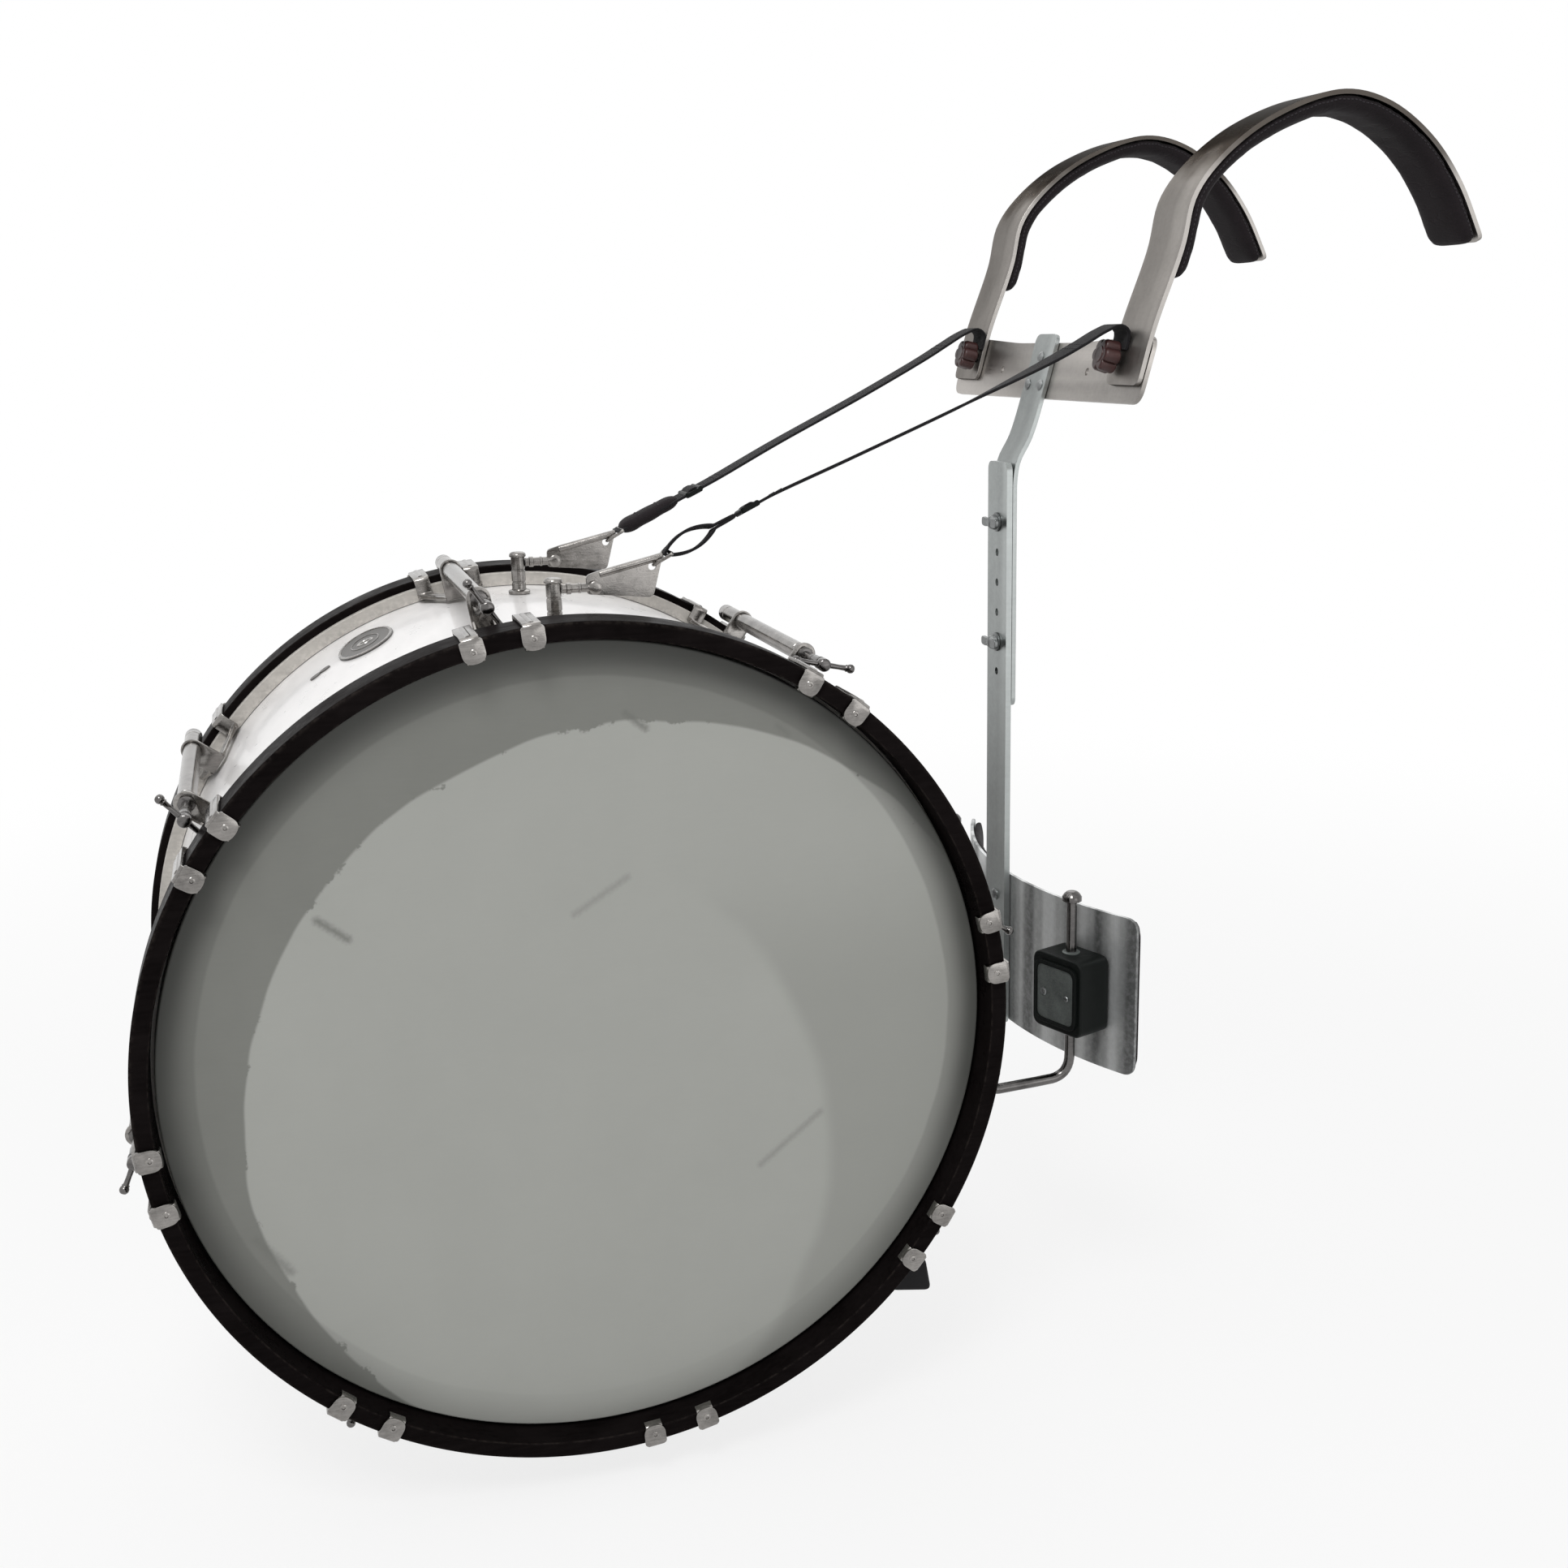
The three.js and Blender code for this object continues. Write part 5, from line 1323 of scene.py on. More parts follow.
@dataclass
class Stations:
    """The forks that hook over the hoops, their tube nuts and the T-screws.

    Pieces are drawn at the drum's top: X along the hoop, Y along the axis, Z outward.

    Attributes:
        drum: The drum that they stand on.
        count, first: How many stations there are, and the first one's angle.
        axis: The screws' distance from the drum's axis.
        handle_turns: Each T-handle's angle, as the player last left it.
        sheet: Thickness of a fork.
        spread: Half the distance between its fingers.
        finger_width, tab: Widths of a finger and of its round end.
        waist: Half of the fork's width before its eye.
        eye_face: Where the eye's front face lies along the drum.
        handle_plane: Where the handles lie along the drum.
        tube: Where the tube nut starts and ends along the drum.
        rivet, collar, neck, arm, washer: Turned forms of the finger's rivet, the screw and the near eye.
    """

    drum: Drum
    count: int = 8
    first: float = 9.2
    axis: float = 332.0
    handle_turns: tuple[float, ...] = (40, 67, -26, 12, -57, -33, -7, 16)
    sheet: float = 2.6
    spread: float = 21.5
    finger_width: float = 13.0
    tab: float = 17.0
    waist: float = 9.0
    eye_face: float = 93.0
    handle_plane: float = 141.0
    tube: Pair = (84.0, 146.0)
    rivet: Profile = ((2.9, 0.0), (2.9, 0.5), (2.3, 1.0), (1.3, 1.1), (1.0, 0.5), (0.4, 0.4))
    collar: Profile = ((4.4, 0.0), (6.0, 0.6), (6.0, 3.1), (5.4, 3.7))
    neck: Profile = ((3.2, 0.0), (4.4, 0.5), (5.0, 1.5), (5.0, 8.4), (4.4, 9.4), (4.4, 11.0), (4.9, 11.6),
                     (4.9, 13.4), (4.2, 14.0), (4.2, 26.0), (3.8, 28.0))
    arm: Profile = ((2.6, 0.0), (2.1, 6.0), (1.9, 12.0), (2.1, 17.5), (2.9, 18.6), (2.3, 19.4), (3.2, 20.3),
                    (3.5, 21.6), (3.3, 23.1), (2.5, 24.3), (1.1, 24.95))
    washer: Profile = ((4.6, 0.0), (7.2, 0.0), (7.2, 1.2), (6.6, 1.8), (4.6, 1.8))

    def build(self) -> None:
        """Ring the drum with forks and stand a T-screw in each pair."""
        step = 2 * math.pi / self.count
        first = math.pi / 2 - math.radians(self.first)
        for side in Side:
            made = self.ring(f"{side.label}_tension_forks", self.fork(side), self.count, first, -step, CHROME)
            dress(made, "chrome", ROOT, [f"{side.label}_fork_{i + 1}" for i in range(self.count)])
        for i, turn in enumerate(self.handle_turns):
            made = self.ring(f"tension_screw_{i + 1}", self.screw(turn), 1, first - step * i, 0.0,
                             SHADED_CHROME)
            dress(made, "chrome", f"t_screw_{i + 1}_body", [f"t_screw_{i + 1}"])

    def ring(self, name: str, shape: Solid, count: int, first: float, step: float,
             finish: Finish) -> Object:
        """Stand copies of a shape round the drum, from a first angle on by a step."""
        piece = pattern(shape, name + "_pattern")
        made = repeat(name, station_ring(), {
            "Piece": piece, "Count": float(count), "First": first, "Step": step,
            "Shift": HEAD_FACE / 1000, "Material": finish.material()})
        discard(piece)
        return made

    @property
    def floor(self) -> float:
        """The underside of a fork's web."""
        return self.drum.radius + 2.9

    @property
    def root(self) -> float:
        """Where a fork's sheet comes down behind the flesh hoop."""
        return self.drum.flesh[0] - GAP - self.sheet

    def finger(self, way: int) -> Solid:
        """Half of a fork: a band over the hoop with a round tab on its face."""
        front = HEAD_FACE + self.drum.recess + GAP
        face = front + self.sheet
        over = self.drum.hoop_radius + GAP
        top = over + self.sheet
        lip = self.drum.hoop_radius - self.drum.hoop_wall - 0.7
        floor, root = self.floor, self.root
        deck, rear = floor + self.sheet, root + self.sheet
        half = self.finger_width / 2
        profile = rounded([
            (-face + 7.9, lip - self.sheet, 1.0), (-face, lip - self.sheet, 3.0), (-face, top, 4.0),
            (-root, top, 4.0), (-root, deck, 1.6), (11.4 - root, deck, 0.5), (11.4 - root, floor, 0.5),
            (-rear, floor, 3.4), (-rear, over, 1.4), (-front, over, 1.4), (-front, lip, 0.8),
            (-face + 7.9, lip, 1.0)], 1.0, 4)
        made = Solid().prism(profile, -half, half, FACING_X).soften(0.7, 2, 40.0)
        side, low, high = self.tab / 2, lip - self.sheet, top - 2.0
        disc = rounded([(-side, low, 8.0), (side, low, 8.0), (side, high, 3.0), (-side, high, 3.0)], 1.0, 8)
        made.add(Solid().prism(disc, front + 0.2, face + 0.4, FACING_Y).soften(0.7, 2))
        made.add(Solid().turned(self.rivet, (0.0, -face - 0.2, (low + high) / 2 - 0.6), -ALONG, 20))
        crest = smooth_line([(0.0, y, top - 0.6) for y in (-root - 6.0, -185.0, -face + 5.0)], 8)
        made.add(Solid().sweep(crest, bead(2.4, 1.3), ACROSS))
        return made.move(Matrix.Rotation(way * math.asin(self.spread / self.drum.hoop_radius), 4, "Y"))

    def fork(self, side: Side) -> Solid:
        """A whole fork; the far one carries the tube nut in its eye."""
        made = self.finger(-1).add(self.finger(1))
        floor, root, eye = self.floor, self.root, self.eye_face
        outer, inner = self.spread + self.finger_width / 2, self.spread - self.finger_width / 2
        waist, hollow = self.waist, 33.4 - root
        right = [(inner, -root, 0.0), (outer, -root, 2.0), (outer, 8.0 - root, 5.0),
                 (waist, 49.4 - root, 7.0), (waist, 2.4 - eye, 0.0)]
        left = [(-x, y, r) for x, y, r in reversed(right)]
        crotch = [(-inner, 11.4 - root, 1.0), (-5.0, hollow, 4.0), (5.0, hollow, 4.0),
                  (inner, 11.4 - root, 1.0)]
        web = rounded([*right, *left, *crotch], 1.0, 5)
        made.add(Solid().prism(web, floor, floor + self.sheet).soften(0.6, 2))
        rib = ((20.0, 3.0 - root), (17.0, 16.0 - root), (5.0, 44.0 - root), (4.2, 1.0 - eye))
        for way in (-1, 1):
            crest = smooth_line([(way * x, y, floor + 2.4) for x, y in rib], 14)
            made.add(Solid().sweep(crest, bead(1.9, 1.2), ACROSS))
        arc = [(waist * math.cos(t), self.axis + waist * math.sin(t)) for t in half_turn(20)]
        hole = circle(4.5 if side is Side.NEAR else 7.0, (0.0, self.axis), 24)
        made.add(Solid().prism([(-waist, floor + 0.4), (waist, floor + 0.4), *arc], eye - 3.0, eye, FACING_Y,
                               [hole]).soften(0.6, 2))
        for way in (-1, 1):
            place = (Matrix.Translation((way * 7.4, 2.6 - eye, floor + self.sheet - 0.3))
                     @ Matrix(((0, 0, 1, 0), (-1, 0, 0, 0), (0, 1, 0, 0), (0, 0, 0, 1))))
            made.add(Solid().prism([(0.0, 0.0), (9.0, 0.0), (0.0, 9.0)], -0.9, 0.9, place).soften(0.3, 1))
        if side is Side.NEAR:
            return made.add(Solid().turned(self.washer, (0.0, 1.0 - eye, self.axis), ALONG, 28))
        made.move(Matrix.Scale(-1.0, 4, ALONG))
        start, end = self.tube
        long = start + end
        shape = [(4.1, 5.0), (4.1, 0.0), (6.3, 0.0), (7.0, 0.8), (7.0, 3.0), (6.4, 3.5), (6.4, 4.3),
                 (7.0, 4.8)]
        tail = [(r, long + y) for r, y in ((7.0, -15.0), (6.4, -14.5), (6.4, -13.7), (7.0, -13.2), (7.0, 0.0),
                                           (6.3, 2.4), (4.5, 4.4), (2.0, 5.0))]
        middle = [(7.0, 4.8 + (long - 19.8) * k / 6) for k in range(1, 6)]
        return made.add(Solid().turned([*shape, *middle, *tail], (0.0, -start, self.axis), ALONG, 28))

    def screw(self, turn: float) -> Solid:
        """A T-screw with its collar, ribbed hub and ball-ended bar."""
        plane = self.handle_plane
        shank = [(3.5, 0.0), (3.5, plane + 56.5), (2.6, plane + 58.0)]
        made = Solid().turned(shank, (0.0, -plane, 0.0), ALONG, 20)
        made.add(Solid().turned(self.collar, (0.0, -self.eye_face - 4.0, 0.0), ALONG, 24))
        made.add(Solid().turned(self.neck, (0.0, -plane - 5.0, 0.0), ALONG, 24))
        for way in (-1, 1):
            made.add(Solid().turned(self.arm, (0.0, -plane, 0.0), ACROSS * way, 20))
        made.move(Matrix.Rotation(math.radians(turn - 90.0), 4, "Y"))
        return made.move(Matrix.Translation((0.0, 0.0, self.axis)))


# Ears, sockets and straps


@dataclass
class Fittings:
    """Strap ears on the drum's top and sockets toward the player.

    Attributes:
        drum: The drum that they are screwed to.
        ear_x, ear_y: Where an ear's post stands.
        rod_z: Height of the rod between the post and its plate.
        fan: The plate's corners, each with its own rounding.
        eye: The plate's hole for the link.
        hook: Where the strap hangs on the link.
        slope: The strap's slope there, in degrees.
        socket_x, socket_y, socket_z: The socket's bore and its two ends.
        pillar, rod, bolt, screw: Turned forms of the post, the rod, its bolt and the socket's screws.
    """

    drum: Drum
    ear_x: float = 2.5
    ear_y: float = 91.0
    rod_z: float = 331.0
    fan: tuple[Triple, ...] = (
        (0.0, 0.576, 3.0), (0.17, 0.667, 3.0), (1.0, 1.0, 2.0), (0.85, 0.0, 4.0), (0.17, 0.121, 3.0),
        (0.0, 0.152, 3.0))
    eye: Pair = (77.15, 344.1)
    hook: Pair = (86.3, 352.3)
    slope: float = 25.0
    socket_x: float = 332.0
    socket_y: float = 130.82
    socket_z: Pair = (-84.0, -56.0)
    pillar: Profile = (
        (8.6, 0.0), (9.0, 0.5), (9.0, 2.4), (8.2, 3.0), (6.3, 3.4), (5.75, 4.4), (5.75, 9.0), (5.3, 9.4),
        (5.3, 10.4), (5.75, 10.8), (5.75, 19.0), (5.3, 19.4), (5.3, 20.4), (5.75, 20.8), (5.75, 30.3),
        (6.8, 30.9), (7.0, 31.5), (6.9, 32.6), (6.2, 33.8), (4.6, 34.6), (2.0, 34.9))
    rod: Profile = ((3.4, 0.0), (3.4, 3.0), (4.3, 3.5), (4.3, 6.5), (3.4, 7.0), (3.4, 12.0), (3.9, 12.5),
                    (3.9, 14.0), (3.4, 14.5), (3.4, 24.0))
    bolt: Profile = ((4.6, 0.0), (5.0, 0.4), (5.0, 3.4), (4.4, 4.0), (2.2, 4.4))
    screw: Profile = ((3.2, 0.0), (3.2, 0.9), (2.4, 1.9), (0.9, 2.3))

    def build(self) -> None:
        """Make both ears and both sockets."""
        for side in Side:
            self.post(side)
            self.plate(side)
            self.socket(side)

    def post(self, side: Side) -> None:
        """A turned post screwed to the shell, with a domed cap."""
        foot = (self.ear_x, side.value * self.ear_y, self.drum.radius + GAP)
        made = Solid().turned(self.pillar, foot, UP, 36)
        made.place(f"ear_pillar_{side.label}", "chrome", [CHROME], stands_for=[f"ear_post_{side.label}"])

    def plate(self, side: Side) -> None:
        """The fan-shaped plate on its rod, with a rolled upper edge."""
        y = side.value * self.ear_y
        outline = rounded([(27.0 + a * 59.0, 321.0 + b * 33.0, r) for a, b, r in self.fan], 1.0, 6)
        made = Solid().prism(outline, -1.5, 1.5, Matrix.Translation((0.0, y, 0.0)) @ FACING_Y,
                             [circle(3.0, self.eye, 24)]).soften(0.5, 2)
        made.add(Solid().rod(2.8, (37.0, y, 340.2), (86.0, y, 351.2), 20).soften(0.8, 2, 60.0))
        made.add(Solid().turned(self.rod, (self.ear_x + 6.05, y, self.rod_z), ACROSS, 24))
        for way in (-1, 1):
            made.add(Solid().turned(self.bolt, (33.0, y + way * 1.4, self.rod_z), ALONG * way, 24))
        made.place(f"ear_fan_{side.label}", "chrome", [CHROME], stands_for=[f"ear_plate_{side.label}"])
        self.link(side)

    def link(self, side: Side) -> None:
        """A triangular wire link from the fan plate's hole to the strap."""
        y = side.value * self.ear_y
        slope = math.radians(self.slope)
        bar = Vector((self.hook[0] + 4.4 * math.cos(slope), y, self.hook[1] + 4.4 * math.sin(slope)))
        hole = Vector((self.eye[0], y, self.eye[1]))
        corners = [hole, bar + ALONG * 14.6, bar - ALONG * 14.6]
        path = []
        for i, corner in enumerate(corners):
            before, after = corners[i - 1], corners[(i + 1) % 3]
            path += bow(corner + (before - corner).normalized() * 4.0, corner,
                        corner + (after - corner).normalized() * 4.0, 6)
        away = (bar - hole).cross(ALONG).normalized()
        made = Solid().sweep(path, circle(1.3, sides=12), away, wrap=True)
        made.place(f"strap_link_{side.label}", "chrome", [CHROME])

    def socket(self, side: Side) -> None:
        """The flanged socket that a J-rod's tip enters from below."""
        y = side.value * self.socket_y
        low, high = self.socket_z
        base = self.drum.radius + 0.7
        flange = Solid().prism(rounded(rectangle(-35.0, 35.0, -13.0, 13.0), 6.0), 0.0, 3.0).soften(0.7)
        made = self.drum.wrap(flange, 0.7)
        head = Solid().turned(self.screw, (0.0, 0.0, base + 2.9), UP, 18)
        for angle in (-5.0, 5.0):
            for shift in (-8.0, 8.0):
                made.add(head, Matrix.Translation((0.0, shift, 0.0))
                         @ Matrix.Rotation(math.radians(angle), 4, "Y"))
        middle = math.degrees(math.atan2((low + high) / 2 - 1.0, base))
        made.move(self.drum.on_shell(middle, y))
        nose = [(self.socket_x + 11.0 * math.sin(t), -11.0 * math.cos(t)) for t in half_turn(20)]
        block = Solid().prism([(290.0, -11.0), *nose, (290.0, 11.0)], low, high, None,
                              [circle(5.1, (self.socket_x, 0.0), 24)]).soften(1.0, 3)
        block.bend(lambda p: Vector((max(p.x, math.sqrt((base + 1.0) ** 2 - p.z ** 2)), p.y, p.z)))
        made.add(block, Matrix.Translation((0.0, y, 0.0)))
        made.place(f"rod_socket_{side.label}", "chrome", [CHROME], stands_for=[f"hook_socket_{side.label}"])


@dataclass
class Straps:
    """The two side straps from the ears to the yoke, in three pieces each.

    Attributes:
        ears: The ears that they hang on.
        lower: Length of the lower reach.
        half: Half of the webbing's width.
        webbing: Thickness of the webbing.
        twist: How far the near strap is turned about its length, in degrees.
        climb: Points of the upper reach after its start, the last ones folding over the knob.
        seam: Where a row of stitches has its points across the strap.
    """

    ears: Fittings
    lower: float = 65.1
    half: float = 12.5
    webbing: float = 2.2
    twist: float = 11.5
    climb: tuple[Triple, ...] = (
        (172.0, 91.0, 392.4), (231.0, 108.0, 419.0), (317.0, 125.0, 457.0), (380.0, 136.0, 487.0),
        (400.0, 139.2, 497.6), (418.0, 140.0, 507.2), (429.0, 140.0, 510.6), (435.1, 140.0, 506.4),
        (434.7, 140.0, 499.0), (432.9, 140.0, 492.8))
    seam: tuple[float, ...] = (-10.0, -5.0, 0.0, 5.0, 10.0)

    def build(self) -> None:
        """Make the open loop, the padded sleeve, both buckles and both upper reaches."""
        self.loop()
        self.sleeve()
        for side in Side:
            self.buckle(side)
            self.upper(side)

    def spot(self, side: Side, point: Sequence[float]) -> Vector:
        """A point of the lower reach, drawn with X up the strap and Y across it; the near one twists."""
        x, y, z = point
        turn = math.radians(self.twist) * eased(x / 7.0) if side is Side.NEAR else 0.0
        turned = Vector((x, y * math.cos(turn) + z * math.sin(turn), z * math.cos(turn) - y * math.sin(turn)))
        ears = self.ears
        return (Matrix.Translation((ears.hook[0], side.value * ears.ear_y, ears.hook[1]))
                @ Matrix.Rotation(-math.radians(ears.slope), 4, "Y")) @ turned

    def lay(self, solid: Solid, side: Side) -> Solid:
        """Set a solid of the lower reach in its place."""
        return solid.bend(lambda point: self.spot(side, point))

    def band(self, half: float, deep: float) -> list[Pair]:
        """The section of webbing: flat with soft edges."""
        return rounded(rectangle(-half, half, -deep, deep), deep * 0.9, 4)

    def loop(self) -> None:
        """The near strap's lower reach: a loop of webbing, sewn where it closes."""
        long = (self.lower - 5.0) / 2
        deep = self.webbing / 2
        open_reach = 1.4 * long
        ring, wide = [], []
        for t in turns(120):
            x = long + (long - deep) * math.cos(t)
            open_share = math.sin(math.pi * min(x / open_reach, 1.0)) ** 0.8
            ring.append(Vector((x, 0.0, power(math.sin(t), 0.4) * (deep + 0.15 + 6.2 * open_share))))
            wide.append((0.35 + 0.65 * min(1.0, x / 24.0), 1.0))
        made = Solid().sweep(ring, self.band(self.half, deep), wrap=True, scale=wide)
        tail = [Vector((self.lower - 8.5 + i * 1.2, 0.0, 0.0)) for i in range(7)]
        made.add(Solid().sweep(tail, self.band(self.half - 0.4, deep)))
        self.lay(made, Side.NEAR)
        made.place("strap_loop_near", "webbing", [WEBBING], stands_for=["lower_strap_near"], weighted=False)
        rows = [[self.spot(Side.NEAR, (self.lower - back, y, height)) for y in self.seam]
                for back, height in ((6.4, 1.45), (3.2, 1.2))]
        stitches("strap_stitches_near", rows, "webbing")

    def sleeve(self) -> None:
        """The far strap's lower reach: webbing inside a padded, channelled sleeve."""
        long = self.lower - 10.0
        section = [(14.0 * power(math.cos(t), 0.7), 5.9 * power(math.sin(t), 0.85)) for t in turns(40)]
        path, scale = [], []
        for i in range(41):
            t = i / 40
            ends = min(1.0, math.sin(math.pi * t) ** 0.35 + 0.22) * (1.04 - 0.22 * t)
            channel = abs(math.sin(3 * math.pi * t))
            path.append(Vector((3.4 + (long + 1.6) * t, 0.0, 0.0)))
            scale.append((ends * (1.0 + 0.03 * channel), ends * (0.95 + 0.1 * channel)))
        made = Solid().sweep(path, section, scale=scale).inflate(2.2, 1.2, lambda point: False)
        rows = made.cling([[Vector((3.4 + (long + 1.6) * share, y, 9.0)) for y in self.seam]
                           for share in (1 / 3, 2 / 3)])
        rows = [[self.spot(Side.FAR, point) for point in row] for row in rows]
        run = (0.0, 2.0, 20.0, 40.0, 60.0, self.lower - 0.3)
        made.add(Solid(1).sweep([Vector((x, 0.0, 0.0)) for x in run],
                                self.band(self.half, self.webbing / 2)))
        self.lay(made, Side.FAR)
        piece = made.place("strap_sleeve_far", "webbing", [FOAM, WEBBING], stands_for=["lower_strap_far"],
                           weighted=False)
        stitches("strap_stitches_far", rows, "webbing")

    def buckle(self, side: Side) -> None:
        """A ladder buckle with the webbing passed round its bars."""
        centre = self.lower + 7.5
        wide = self.half + 0.2
        holes = [rounded(rectangle(x - 1.5, x + 1.5, -wide, wide), 0.6, 3)
                 for x in (centre - 3.2, centre + 3.2)]
        outline = rounded(rectangle(centre - 7.5, centre + 7.5, -15.5, 15.5), 3.4)
        plate = Solid().prism(outline, -1.9, 1.9, None, holes).soften(0.9, 3)
        for x, radius in ((centre - 6.1, 2.2), (centre, 1.6), (centre + 6.1, 2.2)):
            plate.add(Solid().rod(radius, (x, -13.6, 0.3), (x, 13.6, 0.3), 16))
        over = smooth_line([(centre + x, 0.0, z) for x, z in (
            (-9.0, 0.0), (-4.6, 1.1), (-2.4, 2.3), (0.0, 2.5), (2.4, 2.3), (4.6, 0.9), (8.6, 0.0))], 24)
        plate.add(Solid(1).sweep(over, self.band(self.half - 0.5, self.webbing / 2)))
        self.lay(plate, side)
        plate.place(f"ladder_buckle_{side.label}", "black_plastic", [PLASTIC, WEBBING],
                    stands_for=[f"strap_buckle_{side.label}"])

    def path(self, side: Side) -> list[Vector]:
        """The upper reach's route from the buckle to the fold behind the knob."""
        start = self.spot(Side.FAR, (self.lower + 15.5, 0.0, 0.0))
        return smooth_line([(x, side.value * y, z) for x, y, z in (start, *self.climb)], 120)

    def upper(self, side: Side) -> None:
        """The long webbing up to the yoke, and its folded end behind the knob."""
        path = self.path(side)
        lean = [self.lean(side, i / (len(path) - 1)) for i in range(len(path))]
        piece = Solid().sweep(path, self.band(self.half, self.webbing / 2), lean).place(
            f"strap_upper_{side.label}", "webbing", [WEBBING], stands_for=[f"upper_strap_{side.label}"],
            weighted=False)
        self.give(piece)
        way = Line(path)
        rows = []
        for place in (14.0, 20.0, way.length - 62.0, way.length - 56.0):
            here, inward = way.frame(place)
            across = self.lean(side, place / way.length)
            outward = inward.cross(ALONG).cross(across).normalized()
            rows.append([here + across * y + outward * 1.15 for y in self.seam])
        self.give(stitches(f"strap_upper_stitches_{side.label}", rows, "webbing"))

    def lean(self, side: Side, share: float) -> Vector:
        """A strap's width direction; the near one is twisted until it nears the yoke."""
        if side is Side.FAR:
            return ALONG
        turn = math.radians(self.twist) * (1 - eased((share - 0.5) / 0.3))
        slope = math.radians(self.ears.slope)
        return ALONG * math.cos(turn) - Vector((-math.sin(slope), 0.0, math.cos(slope))) * math.sin(turn)

    def give(self, piece: Object) -> None:
        """Give a strap piece a mesh of its own."""
        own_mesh(piece)


# Carrier


@dataclass
class Carrier:
    """The post, the belly plate with its pad, the clamps, J-rods and wing bolts.

    Attributes:
        post_x, post_z: The post's faces and its two ends.
        bolt_z: Heights of the wing bolts.
        pitch: Distance between the post's holes.
        apex: Where the belly plate touches the post.
        curve: The belly plate's radius.
        half: Half of the belly plate's width.
        belly_z: Its lower and upper edge.
        clamp_y: Where the clamps sit.
        rod_out: A J-rod's distance from the plate.
        tip_x: Where the J-rods' tips stand.
        rivet, head, cap, bush: Turned forms of the post's rivets, the bolts' heads, the J-rods' caps
            and the clamps' bushes.
        screw: The clamps' screw heads, as a share of their radius and a height.
        wing: Half of a wing bolt's wings, each corner with its rounding.
    """

    post_x: Pair = (394.0, 399.0)
    post_z: Pair = (-90.0, 403.0)
    bolt_z: Pair = (353.0, 251.4)
    pitch: float = 25.4
    apex: float = 399.4
    curve: float = 361.0
    half: float = 173.0
    belly_z: Pair = (-86.0, 49.0)
    clamp_y: float = 125.0
    rod_out: float = 16.8
    tip_x: float = 332.0
    rivet: Profile = ((5.2, 0.0), (5.2, 0.7), (4.2, 1.9), (2.4, 2.6), (0.8, 2.8))
    head: Profile = ((8.0, 0.0), (8.0, 1.4), (6.4, 1.9), (6.0, 4.2), (5.2, 6.6), (3.4, 8.0), (1.2, 8.2))
    cap: Profile = ((6.6, 0.0), (8.0, 0.8), (8.0, 4.2), (7.4, 5.0), (6.4, 6.6), (4.6, 8.2), (2.0, 9.0))
    bush: Profile = ((5.2, 0.0), (7.4, 0.0), (7.4, 1.2), (6.6, 1.8), (5.2, 1.8))
    screw: Profile = ((1.0, 0.0), (1.0, 0.9), (0.8, 1.5), (0.45, 1.5), (0.4, 0.9))
    wing: tuple[Triple, ...] = (
        (3.0, -3.4, 1.0), (8.0, -4.0, 1.6), (15.0, -3.4, 3.2), (15.0, 4.0, 3.2), (8.0, 3.4, 1.6),
        (3.0, 3.4, 1.0))

    def build(self) -> None:
        """Make every piece of the carrier below the yoke."""
        self.post()
        self.plate()
        self.pad()
        for label, z in zip(("top", "low"), self.bolt_z):
            self.bolt(label, z)
        for side in Side:
            self.clamp(side)
            self.rod(side)

    def post(self) -> None:
        """The flat post with its row of holes."""
        holes = [circle(4.6 if i in (0, 4) else 3.2, (0.0, self.bolt_z[0] - self.pitch * i), 28)
                 for i in range(6)]
        outline = rounded(rectangle(-20.0, 20.0, *self.post_z), 8.0, 8)
        made = Solid().prism(outline, *self.post_x, FACING_X, holes).soften(0.7, 2)
        for z in (-62.0, -18.0, 26.0):
            made.add(Solid(1).turned(self.rivet, (self.post_x[0] + 0.1, 0.0, z), -ACROSS, 24))
        made.place("carrier_post", "brushed", [ALUMINIUM, STEEL], stands_for=["post"])

    @property
    def centre(self) -> float:
        """Where the belly plate's centre of curvature lies."""
        return self.apex + self.curve

    def curved(self, solid: Solid, radius: float) -> Solid:
        """Bend a flat upright sheet about the belly plate's centre of curvature."""
        def rule(point: Vector) -> Vector:
            turn = point.y / radius
            reach = radius - point.x
            return Vector((self.centre - reach * math.cos(turn), reach * math.sin(turn), point.z))
        return solid.slice(ALONG, [i * 8.0 for i in range(-22, 23)]).bend(rule)

    def plate(self) -> None:
        """The curved belly plate of brushed sheet."""
        reach = self.curve * math.asin(self.half / self.curve)
        outline = rounded(rectangle(-reach, reach, *self.belly_z), 12.0, 8)
        made = Solid().prism(outline, 0.0, 3.0, FACING_X).soften(0.7, 2)
        self.curved(made, self.curve).place("carrier_belly_plate", "brushed", [BELLY_METAL],
                                            stands_for=["belly_plate"])

    def pad(self) -> None:
        """The foam pad behind the plate, crowned toward the player."""
        radius = self.curve - 3.3
        reach = radius * math.asin((self.half - 2.2) / radius)
        low, high = self.belly_z[0] + 2.2, self.belly_z[1] - 2.2
        outline = rounded(rectangle(-reach, reach, low, high), 11.5, 8)
        made = Solid().prism(outline, 0.0, 6.4, FACING_X).soften(2.4, 4)
        made.slice(UP, [low + 12.0 * i for i in range(1, 10)])
        self.curved(made, radius)
        centre = self.centre  # of curvature

